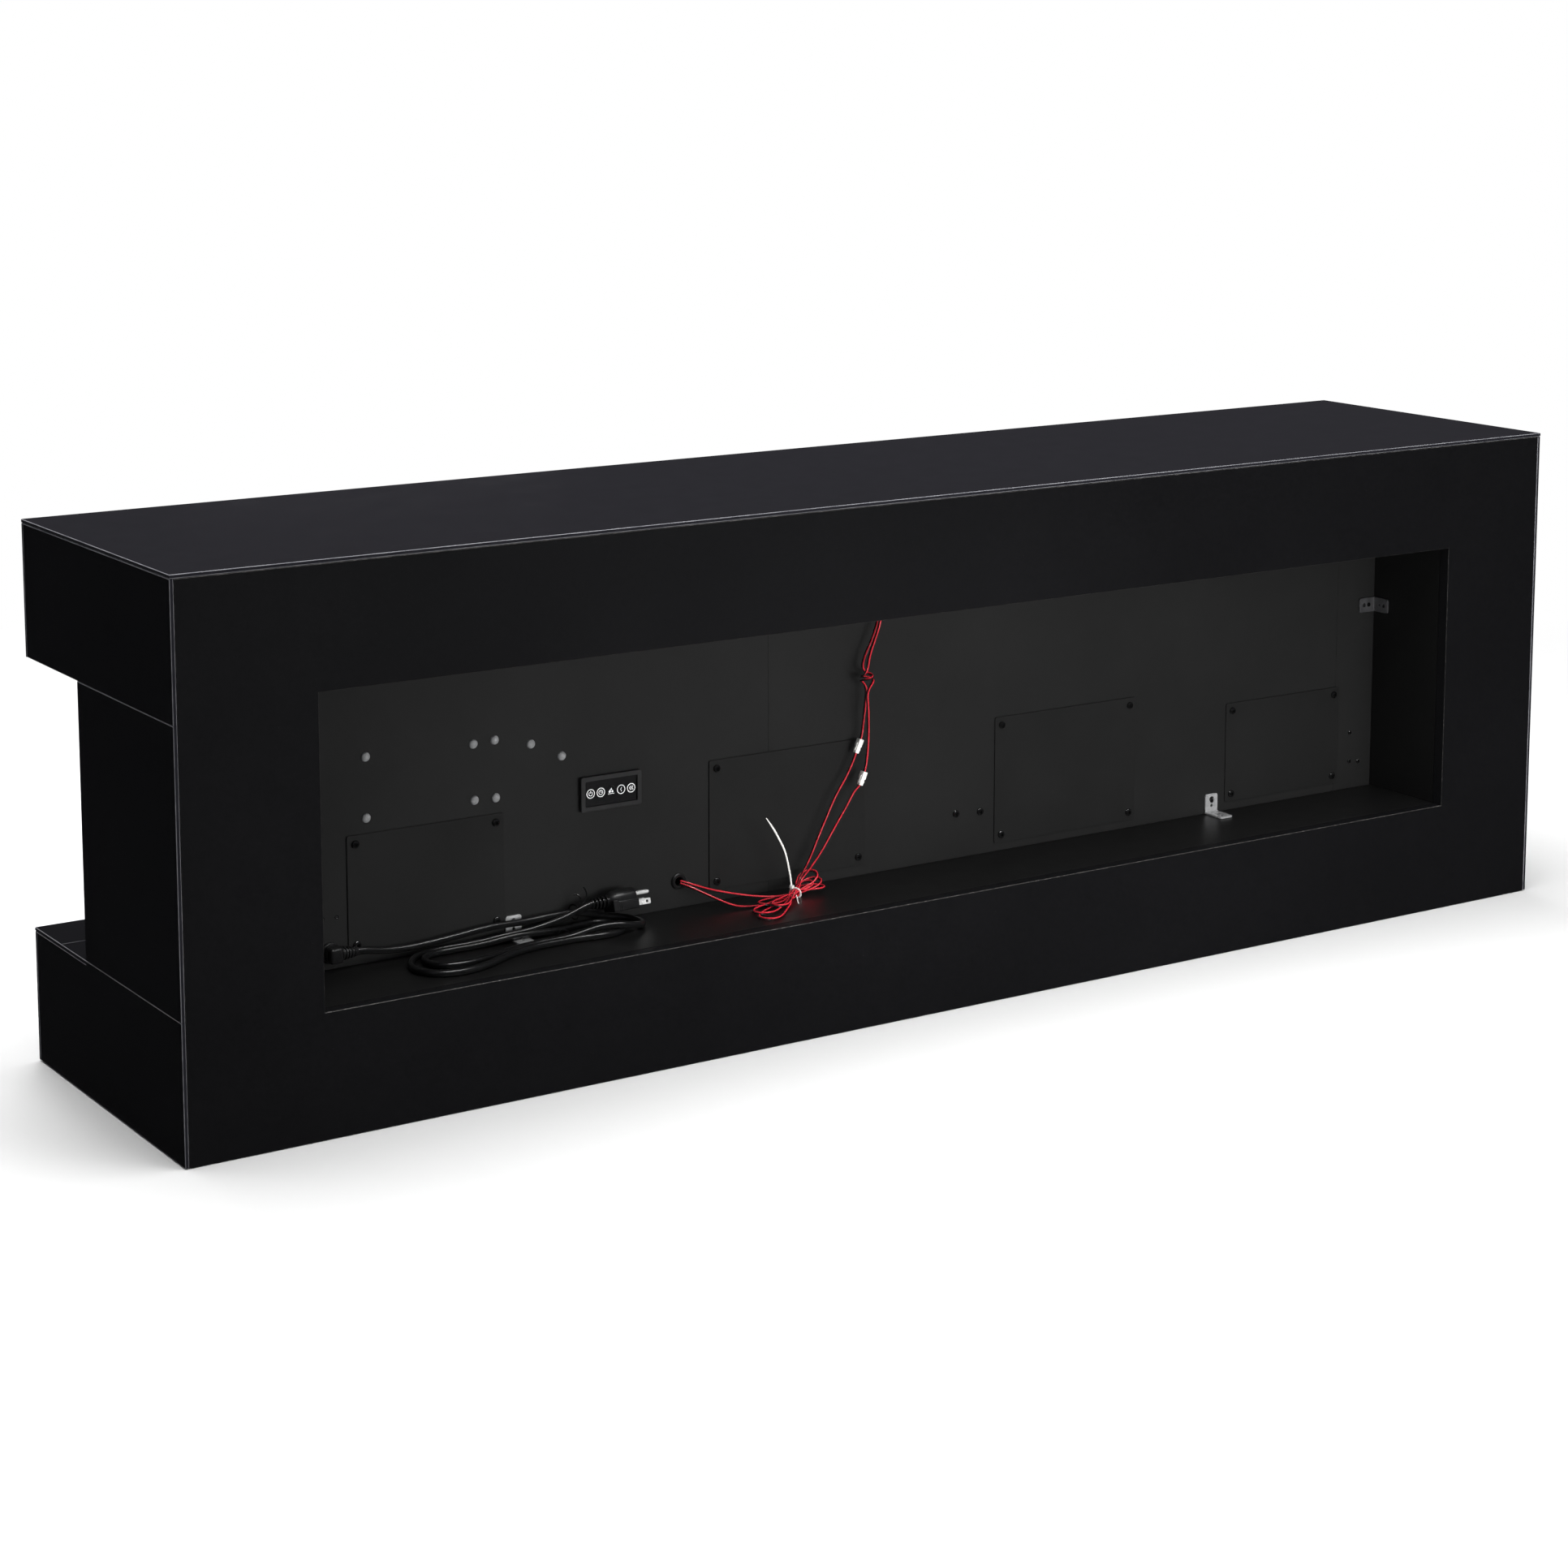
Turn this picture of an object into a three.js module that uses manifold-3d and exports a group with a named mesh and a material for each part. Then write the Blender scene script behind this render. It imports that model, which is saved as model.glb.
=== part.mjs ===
// Free-standing electric fireplace, a black glass surround in three tiers around a flat
// electric insert. Millimetres, +Z up, origin on the floor in the middle of the base.
// The fire looks towards -Y, and the back with its service recess towards +Y.
import * as THREE from 'three';
import { mergeVertices } from 'three/addons/utils/BufferGeometryUtils.js';
import Module from 'manifold-3d';

const wasm = await Module();
wasm.setup();

// ---------------------------------------------------------------- driving dimensions
const LENGTH = 1800;
const DEPTH = 390;
const HEIGHT = 580;
const GLASS = 4; // thickness of every glass panel
const BOARD = 15; // thickness of every carcass board
const GAP = 0.3; // clearance between neighbours
const ARRIS = 0.6; // ground edge of the glass and of the back panel

const HALF_L = LENGTH / 2;
const HALF_D = DEPTH / 2;
const BASE_TOP = 145; // top of the lower tier
const TIER_TOP = 435; // underside of the upper tier
const NICHE_BACK = -51; // front of the middle tier
const DECK_SEAM = -120; // joint between the two deck panes

const RECESS_HALF_L = 750;
const RECESS_FLOOR = 130;
const RECESS_CEILING = 450;
const SHEET_FACE = 68; // outer face of the insert's rear sheet
const SHEET = 1.5; // sheet steel

const GRILLE_HEIGHT = 30;
const SCREEN_Y = 8; // front face of the flame screen
const SPINDLE = { y: 38, z: 190, from: -700, to: 706, radius: 2.5, vane: 26 };
const BLOWER = { y: 38, z: 318, from: 512, to: 648, radius: 20 };

const KEYPAD = { x: 353.8, z: 273, width: 74.5, height: 38, border: 5 };
const KEY = { pitch: 12.5, radius: 5.5, thickness: 1.9, face: 71.3 };
const KEY_NAMES = ['key_power', 'key_timer', 'key_flame', 'key_heat_low', 'key_heat_high'];

// [left, right, bottom, top] of each service cover on the rear sheet
const COVERS = [
  [483, 664, 142, 267],
  [22, 229, 143, 289],
  [-368.5, -160, 140, 289],
  [-694, -510, 141, 263],
];
const COVER_INSET = 9.5; // from a cover's edge to the middle of its screws
const RIVETS = [
  [640.7, 347], [641, 283], [517, 344.6], [491.9, 345.7],
  [449, 335.9], [412, 318.2], [516.5, 284.5], [491.4, 283.7],
];

const FLOOR_BRACKETS = {
  left: { x: 473, width: 19, floorLeaf: 31, wallLeaf: 24 },
  right: { x: -488.5, width: 19, floorLeaf: 31, wallLeaf: 24 },
};

const CORD_RADIUS = 3.75;
const LEAD_RADIUS = 1.5;
const GLAND = { x: 684.4, y: 77, z: 147.6, boot: 24 };
const GROMMET = { x: 268.3, z: 159.9 };
const PLUG = { face: 334.5, y: 85, z: 150.3 };

// The mains lead from its boot to the hank, and the two hanks' end circles [x, y, radius]
const MAINS_ROUTE = [
  [GLAND.x - GLAND.boot - 2 * GAP, GLAND.y, GLAND.z], [652, 77, 147.4], [640, 78, 145.4],
  [630, 80, 143], [621, 83, 141.4],
];
const MAINS_HANK = { from: [577, 119.5, 43.5], to: [360, 101.8, 25.7], bottom: 130.3, top: 142.6 };
const LEAD_HANK = { from: [192, 137, 29], to: [112, 97, 17], bottom: 130.3, top: 142 };

// Low-voltage leads: the pair from the grommet, then each lead up to the recess ceiling
const PAIR_ROUTE = [
  [GROMMET.x, 73.6, GROMMET.z], [264, 77, 158.6], [256, 81.5, 155.5], [244, 87, 150.5],
  [231, 93, 145.5], [221, 99.5, 141.2], [213, 107, 138.2],
];
const LEAD_A_ROUTE = [
  [122, 86, 144], [117, 85, 150.5], [106, 84.5, 168], [97, 84, 185.5], [84, 83, 209], [70.6, 82, 231.8],
  [57, 81, 250], [48, 80, 264], [42.5, 80, 276], [39.2, 80, 283.5], [36, 80, 291], [33, 80, 307],
  [31, 80, 324], [30, 80, 343], [30.2, 80, 361], [23, 79.5, 378], [16, 79, 393], [10.5, 78.3, 421],
  [9.2, 78, 436], [9, 78, 449.4],
];
const LEAD_B_ROUTE = [
  [124, 92, 144], [118, 92, 148], [106, 91.5, 158], [94, 91, 171], [87.4, 90, 181], [71, 89, 203],
  [56, 88, 224], [48, 87.5, 234], [41.6, 87, 240.5], [38.7, 87, 247.8], [35.7, 87, 255], [32, 87, 270],
  [29.7, 87, 286], [26.6, 87, 316], [28, 87, 340], [29, 86.5, 361], [22, 85.5, 378], [15, 84.5, 393],
  [9.8, 83.7, 421], [9, 83.2, 436], [9, 83, 449.4],
];

// ---------------------------------------------------------------- finishes
const FINISHES = {
  blackGlass: { color: 0x0b0b0e, roughness: 0.08, metalness: 0 },
  paintedBoard: { color: 0x17171a, roughness: 0.45, metalness: 0 },
  rawBoard: { color: 0x8c7558, roughness: 0.8, metalness: 0 },
  blackSteel: { color: 0x262626, roughness: 0.55, metalness: 0.2 },
  zinc: { color: 0xc9cbcd, roughness: 0.3, metalness: 1 },
  darkSteel: { color: 0x4a4a4c, roughness: 0.4, metalness: 0.9 },
  blackPlastic: { color: 0x141414, roughness: 0.5, metalness: 0 },
  glossPlastic: { color: 0x101012, roughness: 0.15, metalness: 0 },
  whitePlastic: { color: 0xe6e4dc, roughness: 0.45, metalness: 0 },
  smokedAcrylic: { color: 0x1c1c1f, roughness: 0.2, metalness: 0 },
  crystal: { color: 0xdfe6ea, roughness: 0.05, metalness: 0 },
  circuitBoard: { color: 0x1f5a33, roughness: 0.5, metalness: 0 },
  aluminium: { color: 0xb8babc, roughness: 0.35, metalness: 1 },
  rubber: { color: 0x0f0f0f, roughness: 0.7, metalness: 0 },
  leadInsulation: { color: 0xb3262e, roughness: 0.5, metalness: 0 },
};

const object = new THREE.Group();

function place(name, geometry, finish) {
  const mesh = new THREE.Mesh(geometry, new THREE.MeshStandardMaterial(FINISHES[finish]));
  mesh.name = name;
  object.add(mesh);
}

// ---------------------------------------------------------------- solid helpers
function solidOf(geometry) {
  const bare = geometry.clone();
  bare.deleteAttribute('normal');
  bare.deleteAttribute('uv');
  const merged = mergeVertices(bare, 1e-4);
  return new wasm.Manifold(new wasm.Mesh({
    numProp: 3,
    vertProperties: new Float32Array(merged.attributes.position.array),
    triVerts: new Uint32Array(merged.index.array),
  }));
}

function geometryOf(solid) {
  const mesh = solid.getMesh();
  const geometry = new THREE.BufferGeometry();
  geometry.setAttribute('position', new THREE.BufferAttribute(mesh.vertProperties, 3));
  geometry.setIndex(new THREE.BufferAttribute(mesh.triVerts, 1));
  return geometry;
}

function join(base, pieces) {
  return geometryOf(pieces.reduce((sum, piece) => sum.add(solidOf(piece)), solidOf(base)));
}

function cut(base, tools) {
  return geometryOf(tools.reduce((rest, tool) => rest.subtract(solidOf(tool)), solidOf(base)));
}

function block(x0, x1, y0, y1, z0, z1) {
  const box = new THREE.BoxGeometry(x1 - x0, y1 - y0, z1 - z0);
  return box.translate((x0 + x1) / 2, (y0 + y1) / 2, (z0 + z1) / 2);
}

function outline(points) {
  return new THREE.Shape(points.map(([a, b]) => new THREE.Vector2(a, b)));
}

function rectangle(a0, a1, b0, b1) {
  return outline([[a0, b0], [a1, b0], [a1, b1], [a0, b1]]);
}

// Extrusions along one axis; an arris grinds the edges of both faces
function extrude(shape, depth, arris) {
  return new THREE.ExtrudeGeometry(shape, {
    depth: depth - 2 * arris,
    steps: 1,
    curveSegments: 10,
    bevelEnabled: arris > 0,
    bevelThickness: arris,
    bevelSize: arris,
    bevelOffset: -arris,
    bevelSegments: 1,
  }).translate(0, 0, arris);
}

function alongX(shapeYZ, x0, x1, arris = 0) {
  const basis = new THREE.Matrix4().set(0, 0, 1, x0, 1, 0, 0, 0, 0, 1, 0, 0, 0, 0, 0, 1);
  return extrude(shapeYZ, x1 - x0, arris).applyMatrix4(basis);
}

function alongY(shapeXZ, y0, y1, arris = 0) {
  const basis = new THREE.Matrix4().set(1, 0, 0, 0, 0, 0, -1, y1, 0, 1, 0, 0, 0, 0, 0, 1);
  return extrude(shapeXZ, y1 - y0, arris).applyMatrix4(basis);
}

function alongZ(shapeXY, z0, z1, arris = 0) {
  return extrude(shapeXY, z1 - z0, arris).translate(0, 0, z0);
}

function rodX(radius, x0, x1, y, z, sides = 16) {
  const rod = new THREE.CylinderGeometry(radius, radius, x1 - x0, sides);
  return rod.rotateZ(Math.PI / 2).translate((x0 + x1) / 2, y, z);
}

function rodY(radius, x, y0, y1, z, sides = 20) {
  return new THREE.CylinderGeometry(radius, radius, y1 - y0, sides).translate(x, (y0 + y1) / 2, z);
}

// Turned piece whose axis points to +Y; the profile is [radius, height] from the axis out and back
function turnedY(profile, x, y, z, sides = 12) {
  const points = profile.map(([radius, height]) => new THREE.Vector2(radius, height));
  return new THREE.LatheGeometry(points, sides).translate(x, y, z);
}

function tube(route, radius, steps, sides = 8) {
  const path = new THREE.CatmullRomCurve3(route.map((point) => new THREE.Vector3(...point)));
  const section = new THREE.Shape();
  for (let side = 0; side < sides; side += 1) {
    const angle = (2 * Math.PI * side) / sides;
    const corner = [radius * Math.cos(angle), radius * Math.sin(angle)];
    if (side === 0) section.moveTo(...corner);
    else section.lineTo(...corner);
  }
  return new THREE.ExtrudeGeometry(section, { steps, extrudePath: path, bevelEnabled: false });
}

// Outer shape of a hank: two end circles and their common tangents, flat on the floor
function hank({ from, to, bottom, top }) {
  const [x0, y0, r0] = from;
  const [x1, y1, r1] = to;
  const heading = Math.atan2(y1 - y0, x1 - x0);
  const spread = Math.acos((r0 - r1) / Math.hypot(x1 - x0, y1 - y0));
  const shape = new THREE.Shape();
  shape.absarc(x0, y0, r0, heading + spread, heading - spread + 2 * Math.PI, false);
  shape.absarc(x1, y1, r1, heading - spread, heading + spread, false);
  return alongZ(shape, bottom, top);
}

const SIDES = [['left', 1], ['right', -1]]; // as seen from behind

function mirrorRange(side, inner, outer) {
  return side > 0 ? [inner, outer] : [-outer, -inner];
}

// ---------------------------------------------------------------- carcass boards
const PANEL_HALF_L = HALF_L - GLASS - GAP; // boards stand inside the end glass
const PANEL_TOP = HEIGHT - GLASS - GAP;
const BACK_INSIDE = HALF_D - BOARD;
const FRONT_FACE = -HALF_D + GLASS + GAP;
const FRONT_INSIDE = FRONT_FACE + BOARD;
const INNER_HALF_L = PANEL_HALF_L - BOARD - GAP;
const DECK_TOP = BASE_TOP - GLASS - GAP;
const STEP_Y = NICHE_BACK + 20; // where the boards step to the deck and the niche ceiling

function addCarcass() {
  const back = rectangle(-PANEL_HALF_L, PANEL_HALF_L, 0, PANEL_TOP);
  const side = RECESS_HALF_L;
  const corners = [[-side, RECESS_FLOOR], [-side, RECESS_CEILING], [side, RECESS_CEILING], [side, RECESS_FLOOR]];
  back.holes.push(new THREE.Path(corners.map(([x, z]) => new THREE.Vector2(x, z))));
  place('back_panel', alongY(back, BACK_INSIDE, HALF_D, ARRIS), 'paintedBoard');

  const rear = BACK_INSIDE - GAP;
  const nicheBack = NICHE_BACK + GLASS + GAP;
  const endProfile = outline([
    [FRONT_FACE, 0], [rear, 0], [rear, PANEL_TOP], [FRONT_FACE, PANEL_TOP], [FRONT_FACE, TIER_TOP],
    [nicheBack, TIER_TOP], [nicheBack, DECK_TOP], [FRONT_FACE, DECK_TOP],
  ]);
  for (const [name, sign] of SIDES) {
    const [x0, x1] = mirrorRange(sign, PANEL_HALF_L - BOARD, PANEL_HALF_L);
    place(`end_board_${name}`, alongX(endProfile, x0, x1), 'paintedBoard');
    const [lining0, lining1] = mirrorRange(sign, RECESS_HALF_L, RECESS_HALF_L + BOARD);
    const lining = block(lining0, lining1, STEP_Y + GAP, rear, RECESS_FLOOR + GAP, RECESS_CEILING - GAP);
    place(`recess_side_board_${name}`, lining, 'paintedBoard');
  }

  const across = [-INNER_HALF_L, INNER_HALF_L];
  place('top_board', block(...across, FRONT_INSIDE + GAP, rear, PANEL_TOP - BOARD, PANEL_TOP), 'rawBoard');
  const upperFront = block(...across, FRONT_FACE, FRONT_INSIDE, TIER_TOP, PANEL_TOP);
  place('upper_front_board', upperFront, 'rawBoard');
  const upperFloor = outline([
    [FRONT_INSIDE + GAP, TIER_TOP], [STEP_Y, TIER_TOP], [STEP_Y, RECESS_CEILING],
    [rear, RECESS_CEILING], [rear, RECESS_CEILING + BOARD], [FRONT_INSIDE + GAP, RECESS_CEILING + BOARD],
  ]);
  place('upper_floor_board', alongX(upperFloor, ...across), 'paintedBoard');
  const deck = outline([
    [FRONT_INSIDE + GAP, RECESS_FLOOR - BOARD], [rear, RECESS_FLOOR - BOARD], [rear, RECESS_FLOOR],
    [STEP_Y, RECESS_FLOOR], [STEP_Y, DECK_TOP], [FRONT_INSIDE + GAP, DECK_TOP],
  ]);
  place('base_deck_board', alongX(deck, ...across), 'paintedBoard');
  place('base_front_board', block(...across, FRONT_FACE, FRONT_INSIDE, 0, DECK_TOP), 'rawBoard');
  place('base_bottom_board', block(...across, FRONT_INSIDE + GAP, rear, 0, BOARD), 'rawBoard');
}

// ---------------------------------------------------------------- glass cladding
function addGlass() {
  const paneX = HALF_L - GLASS;
  const floorGap = 1;
  const frontEdge = -HALF_D + GLASS + GAP;
  const topPane = rectangle(-HALF_L, HALF_L, -HALF_D, HALF_D);
  place('top_glass', alongZ(topPane, HEIGHT - GLASS, HEIGHT, ARRIS), 'blackGlass');

  const endPanes = {
    upper: rectangle(frontEdge, HALF_D, TIER_TOP, HEIGHT - GLASS - GAP),
    middle: rectangle(NICHE_BACK, HALF_D, BASE_TOP + GAP, TIER_TOP - GAP),
    base: outline([
      [frontEdge, floorGap], [HALF_D, floorGap], [HALF_D, BASE_TOP], [NICHE_BACK, BASE_TOP],
      [NICHE_BACK, DECK_TOP], [frontEdge, DECK_TOP],
    ]),
  };
  for (const [name, sign] of SIDES) {
    const [x0, x1] = mirrorRange(sign, paneX, HALF_L);
    for (const [tier, shape] of Object.entries(endPanes)) {
      place(`${tier}_end_glass_${name}`, alongX(shape, x0, x1, ARRIS), 'blackGlass');
    }
  }

  const upperFront = rectangle(-HALF_L, HALF_L, TIER_TOP, HEIGHT - GLASS - GAP);
  place('upper_front_glass', alongY(upperFront, -HALF_D, -HALF_D + GLASS, ARRIS), 'blackGlass');
  const baseFront = rectangle(-HALF_L, HALF_L, floorGap, DECK_TOP);
  place('base_front_glass', alongY(baseFront, -HALF_D, -HALF_D + GLASS, ARRIS), 'blackGlass');
  const deckFront = rectangle(-HALF_L, HALF_L, -HALF_D, DECK_SEAM - GAP / 2);
  place('deck_front_glass', alongZ(deckFront, BASE_TOP - GLASS, BASE_TOP, ARRIS), 'blackGlass');
  const deckRear = rectangle(-HALF_L, HALF_L, DECK_SEAM + GAP / 2, NICHE_BACK - GAP);
  place('deck_rear_glass', alongZ(deckRear, BASE_TOP - GLASS, BASE_TOP, ARRIS), 'blackGlass');
}

// ---------------------------------------------------------------- insert casing
const PAN_HEAD = [[0, -0.4], [4, -0.4], [4, 0.9], [3.1, 1.9], [0, 2.4]];
const DOME = [[0, -0.4], [4.6, -0.4], [4.6, 0.6], [3.6, 1.9], [1.9, 2.7], [0, 3]];

function addInsert() {
  const front = NICHE_BACK + GLASS + GAP;
  const bottom = DECK_TOP + GAP;
  const top = TIER_TOP - GAP;
  const side = RECESS_HALF_L - 0.5;
  const rear = SHEET_FACE - SHEET - GAP;
  const shell = block(-side, side, front, rear, bottom, top);
  const inside = block(-side + SHEET, side - SHEET, front - 1, rear + 1, bottom + SHEET, top - SHEET);
  place('firebox_wrap', cut(shell, [inside]), 'blackSteel');

  const reach = RECESS_HALF_L - GAP;
  const sheet = block(-reach, reach, SHEET_FACE - SHEET, SHEET_FACE, RECESS_FLOOR + GAP, RECESS_CEILING - GAP);
  const openings = COVERS.map(([x0, x1, z0, z1]) => (
    block(x0 + 22, x1 - 22, SHEET_FACE - 5, SHEET_FACE + 5, z0 + 22, z1 - 22)
  ));
  openings.push(rodY(8, GLAND.x, SHEET_FACE - 5, SHEET_FACE + 5, GLAND.z));
  openings.push(rodY(6.4, GROMMET.x, SHEET_FACE - 5, SHEET_FACE + 5, GROMMET.z));
  openings.push(block(KEYPAD.x - 32, KEYPAD.x + 32, SHEET_FACE - 5, SHEET_FACE + 5, KEYPAD.z - 9, KEYPAD.z + 9));
  const rivets = RIVETS.map(([x, z]) => turnedY(DOME, x, SHEET_FACE, z));
  place('firebox_rear_sheet', join(cut(sheet, openings), rivets), 'blackSteel');

  COVERS.forEach(([x0, x1, z0, z1], index) => {
    const plate = alongY(rectangle(x0, x1, z0, z1), SHEET_FACE + GAP, SHEET_FACE + GAP + 1.2);
    const heads = [];
    for (const x of [x0 + COVER_INSET, x1 - COVER_INSET]) {
      for (const z of [z0 + COVER_INSET, z1 - COVER_INSET]) {
        heads.push(turnedY(PAN_HEAD, x, SHEET_FACE + GAP + 1.2, z, 10));
      }
    }
    place(`service_cover_${index + 1}`, join(plate, heads), 'blackSteel');
  });

  const width = HALF_L - GLASS - GAP;
  const glassTop = TIER_TOP - GAP - GRILLE_HEIGHT - GAP;
  const pane = rectangle(-width, width, BASE_TOP - GLASS, glassTop);
  place('front_glass', alongY(pane, NICHE_BACK, NICHE_BACK + GLASS, ARRIS), 'smokedAcrylic');

  const grilleBottom = glassTop + GAP;
  const slots = [];
  for (let x = -640; x <= 640; x += 80) {
    for (const rise of [8, 18]) {
      const low = grilleBottom + rise;
      slots.push(block(x - 34, x + 34, NICHE_BACK - 1, NICHE_BACK + GLASS + 1, low, low + 4));
    }
  }
  const strip = block(-width, width, NICHE_BACK, NICHE_BACK + GLASS, grilleBottom, TIER_TOP - GAP);
  place('outlet_grille', cut(strip, slots), 'blackSteel');
}

// ---------------------------------------------------------------- flame effect
function addFlameEffect() {
  const floor = DECK_TOP + GAP + SHEET + GAP;
  const trayFront = NICHE_BACK + GLASS + GAP + 2;
  const trayProfile = outline([
    [trayFront, floor], [SCREEN_Y - 3, floor], [SCREEN_Y - 3, floor + 22], [SCREEN_Y - 4.5, floor + 22],
    [SCREEN_Y - 4.5, floor + SHEET], [trayFront + SHEET, floor + SHEET], [trayFront + SHEET, floor + 14],
    [trayFront, floor + 14],
  ]);
  place('ember_tray', alongX(trayProfile, -740, 740), 'blackSteel');
  const bedProfile = outline([
    [trayFront + SHEET + GAP, floor + SHEET + GAP], [SCREEN_Y - 4.5 - GAP, floor + SHEET + GAP],
    [SCREEN_Y - 4.5 - GAP, floor + 18], [SCREEN_Y - 18, floor + 26], [trayFront + 14, floor + 22],
    [trayFront + SHEET + GAP, floor + 14],
  ]);
  place('crystal_bed', alongX(bedProfile, -736, 736), 'crystal');
  place('flame_screen', block(-742, 742, SCREEN_Y, SCREEN_Y + 3, floor, 392), 'smokedAcrylic');

  const vanes = [];
  const count = 18;
  for (let index = 0; index < count; index += 1) {
    const vane = new THREE.BoxGeometry(34, SPINDLE.vane, 0.8);
    vane.rotateX((index * Math.PI) / 5 + 0.2);
    vane.translate(-655 + (index * 1310) / (count - 1), SPINDLE.y, SPINDLE.z);
    vanes.push(vane);
  }
  const rod = rodX(SPINDLE.radius, SPINDLE.from, SPINDLE.to, SPINDLE.y, SPINDLE.z, 10);
  place('flicker_spindle', join(rod, vanes), 'aluminium');

  const can = rodX(19, 712, 730, SPINDLE.y, SPINDLE.z, 20);
  const nose = rodX(8, 704, 713, SPINDLE.y, SPINDLE.z);
  const foot = block(714, 728, SPINDLE.y - 16, SPINDLE.y + 16, floor, SPINDLE.z);
  const socket = rodX(SPINDLE.radius + 0.5, 700, 710, SPINDLE.y, SPINDLE.z, 10);
  place('spindle_motor', cut(join(can, [nose, foot]), [socket]), 'zinc');
}

// ---------------------------------------------------------------- fan heater
function addHeater() {
  const { y, z, from, to, radius } = BLOWER;
  const cavity = radius + 3.5;
  const casing = block(from - 5, to + 5, SCREEN_Y + 4, SHEET_FACE - SHEET - 1, z - 40, z + 42);
  const scroll = rodX(cavity, from - 2, to + 2, y, z, 24);
  const throat = block(from - 2, to + 2, y - 20, y - 2, z + 4, z + 50);
  const inlet = block(from - 2, to + 2, y - 8, y + 16, z - 50, z - 12);
  const bore = rodX(4, from - 10, from, y, z, 12);
  place('blower_casing', cut(casing, [scroll, throat, inlet, bore]), 'zinc');

  const blades = [];
  const count = 16;
  for (let index = 0; index < count; index += 1) {
    const blade = new THREE.BoxGeometry(to - from - 4, 0.8, 6);
    blade.rotateX(0.5).translate((from + to) / 2, 0, 0);
    blade.translate(0, 0, radius - 3.6).rotateX((2 * Math.PI * index) / count);
    blades.push(blade.translate(0, y, z));
  }
  for (const x of [from + 2, (from + to) / 2, to - 2]) blades.push(rodX(radius, x - 1, x + 1, y, z, 16));
  place('blower_wheel', join(rodX(3, from - 24, to - 1, y, z, 10), blades), 'blackPlastic');

  const motor = rodX(21, 424, 486, y, z, 20);
  const collar = rodX(9, 485, 494, y, z);
  const mount = block(412, 492, y + 18, SHEET_FACE - SHEET - 1, z - 40, z + 32);
  const socket = rodX(3.6, from - 28, from, y, z, 10);
  place('blower_motor', cut(join(motor, [collar, mount]), [socket]), 'darkSteel');

  const frame = block(from, to, -22, 2, 404, 430);
  const cells = [];
  for (let x = from + 5; x + 6 < to; x += 8) cells.push(block(x, x + 6, -23, 3, 408, 426));
  place('heater_element', cut(frame, cells), 'aluminium');
}

// ---------------------------------------------------------------- rear control panel
function addControls() {
  const x0 = KEYPAD.x - KEYPAD.width / 2;
  const x1 = KEYPAD.x + KEYPAD.width / 2;
  const z0 = KEYPAD.z - KEYPAD.height / 2;
  const z1 = KEYPAD.z + KEYPAD.height / 2;
  const rim = KEYPAD.border;
  const body = alongY(rectangle(x0, x1, z0, z1), SHEET_FACE + GAP, SHEET_FACE + 5, ARRIS);
  const keyX = KEY_NAMES.map((name, index) => KEYPAD.x + (2 - index) * KEY.pitch);
  const tools = [block(x0 + rim, x1 - rim, KEY.face - 0.3, SHEET_FACE + 6, z0 + rim, z1 - rim)];
  for (const x of keyX) tools.push(rodY(KEY.radius + GAP, x, SHEET_FACE - 1, SHEET_FACE + 6, KEYPAD.z, 24));
  place('keypad_bezel', cut(body, tools), 'glossPlastic');
  KEY_NAMES.forEach((name, index) => {
    place(name, rodY(KEY.radius, keyX[index], KEY.face - KEY.thickness, KEY.face, KEYPAD.z, 24), 'glossPlastic');
  });

  const board = block(KEYPAD.x - 40, KEYPAD.x + 40, 58, 59.6, KEYPAD.z - 26, KEYPAD.z + 26);
  const switches = keyX.map((x) => block(x - 3, x + 3, 59.5, 65, KEYPAD.z - 3, KEYPAD.z + 3));
  const relay = block(KEYPAD.x - 34, KEYPAD.x - 16, 44, 58.1, KEYPAD.z - 20, KEYPAD.z + 4);
  place('control_board', join(board, [...switches, relay]), 'circuitBoard');
}

// ---------------------------------------------------------------- fixing brackets
function addBrackets() {
  const plate = 2;
  const face = SHEET_FACE + GAP;
  const floor = RECESS_FLOOR + GAP;
  for (const [name, { x, width, floorLeaf, wallLeaf }] of Object.entries(FLOOR_BRACKETS)) {
    const profile = outline([
      [face, floor], [face + floorLeaf, floor], [face + floorLeaf, floor + plate], [face + plate, floor + plate],
      [face + plate, floor + wallLeaf], [face, floor + wallLeaf],
    ]);
    const leaves = alongX(profile, x - width / 2, x + width / 2);
    const holes = [rodY(1.8, x, face - 1, face + 4, floor + 12.5, 12)];
    const floorHole = new THREE.CylinderGeometry(1.8, 1.8, 8, 12).rotateX(Math.PI / 2);
    holes.push(floorHole.translate(x, face + 13, floor + 1));
    place(`floor_bracket_${name}`, cut(leaves, holes), 'zinc');
  }

  const wall = -RECESS_HALF_L + GAP;
  const corner = outline([
    [wall, face], [wall + 26, face], [wall + 26, face + plate], [wall + plate, face + plate],
    [wall + plate, face + 26], [wall, face + 26],
  ]);
  const small = rodY(1.6, wall + 13.5, face - 1, face + 4, 362, 12);
  place('corner_bracket', cut(alongZ(corner, 353, 371), [small]), 'darkSteel');
}

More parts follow.
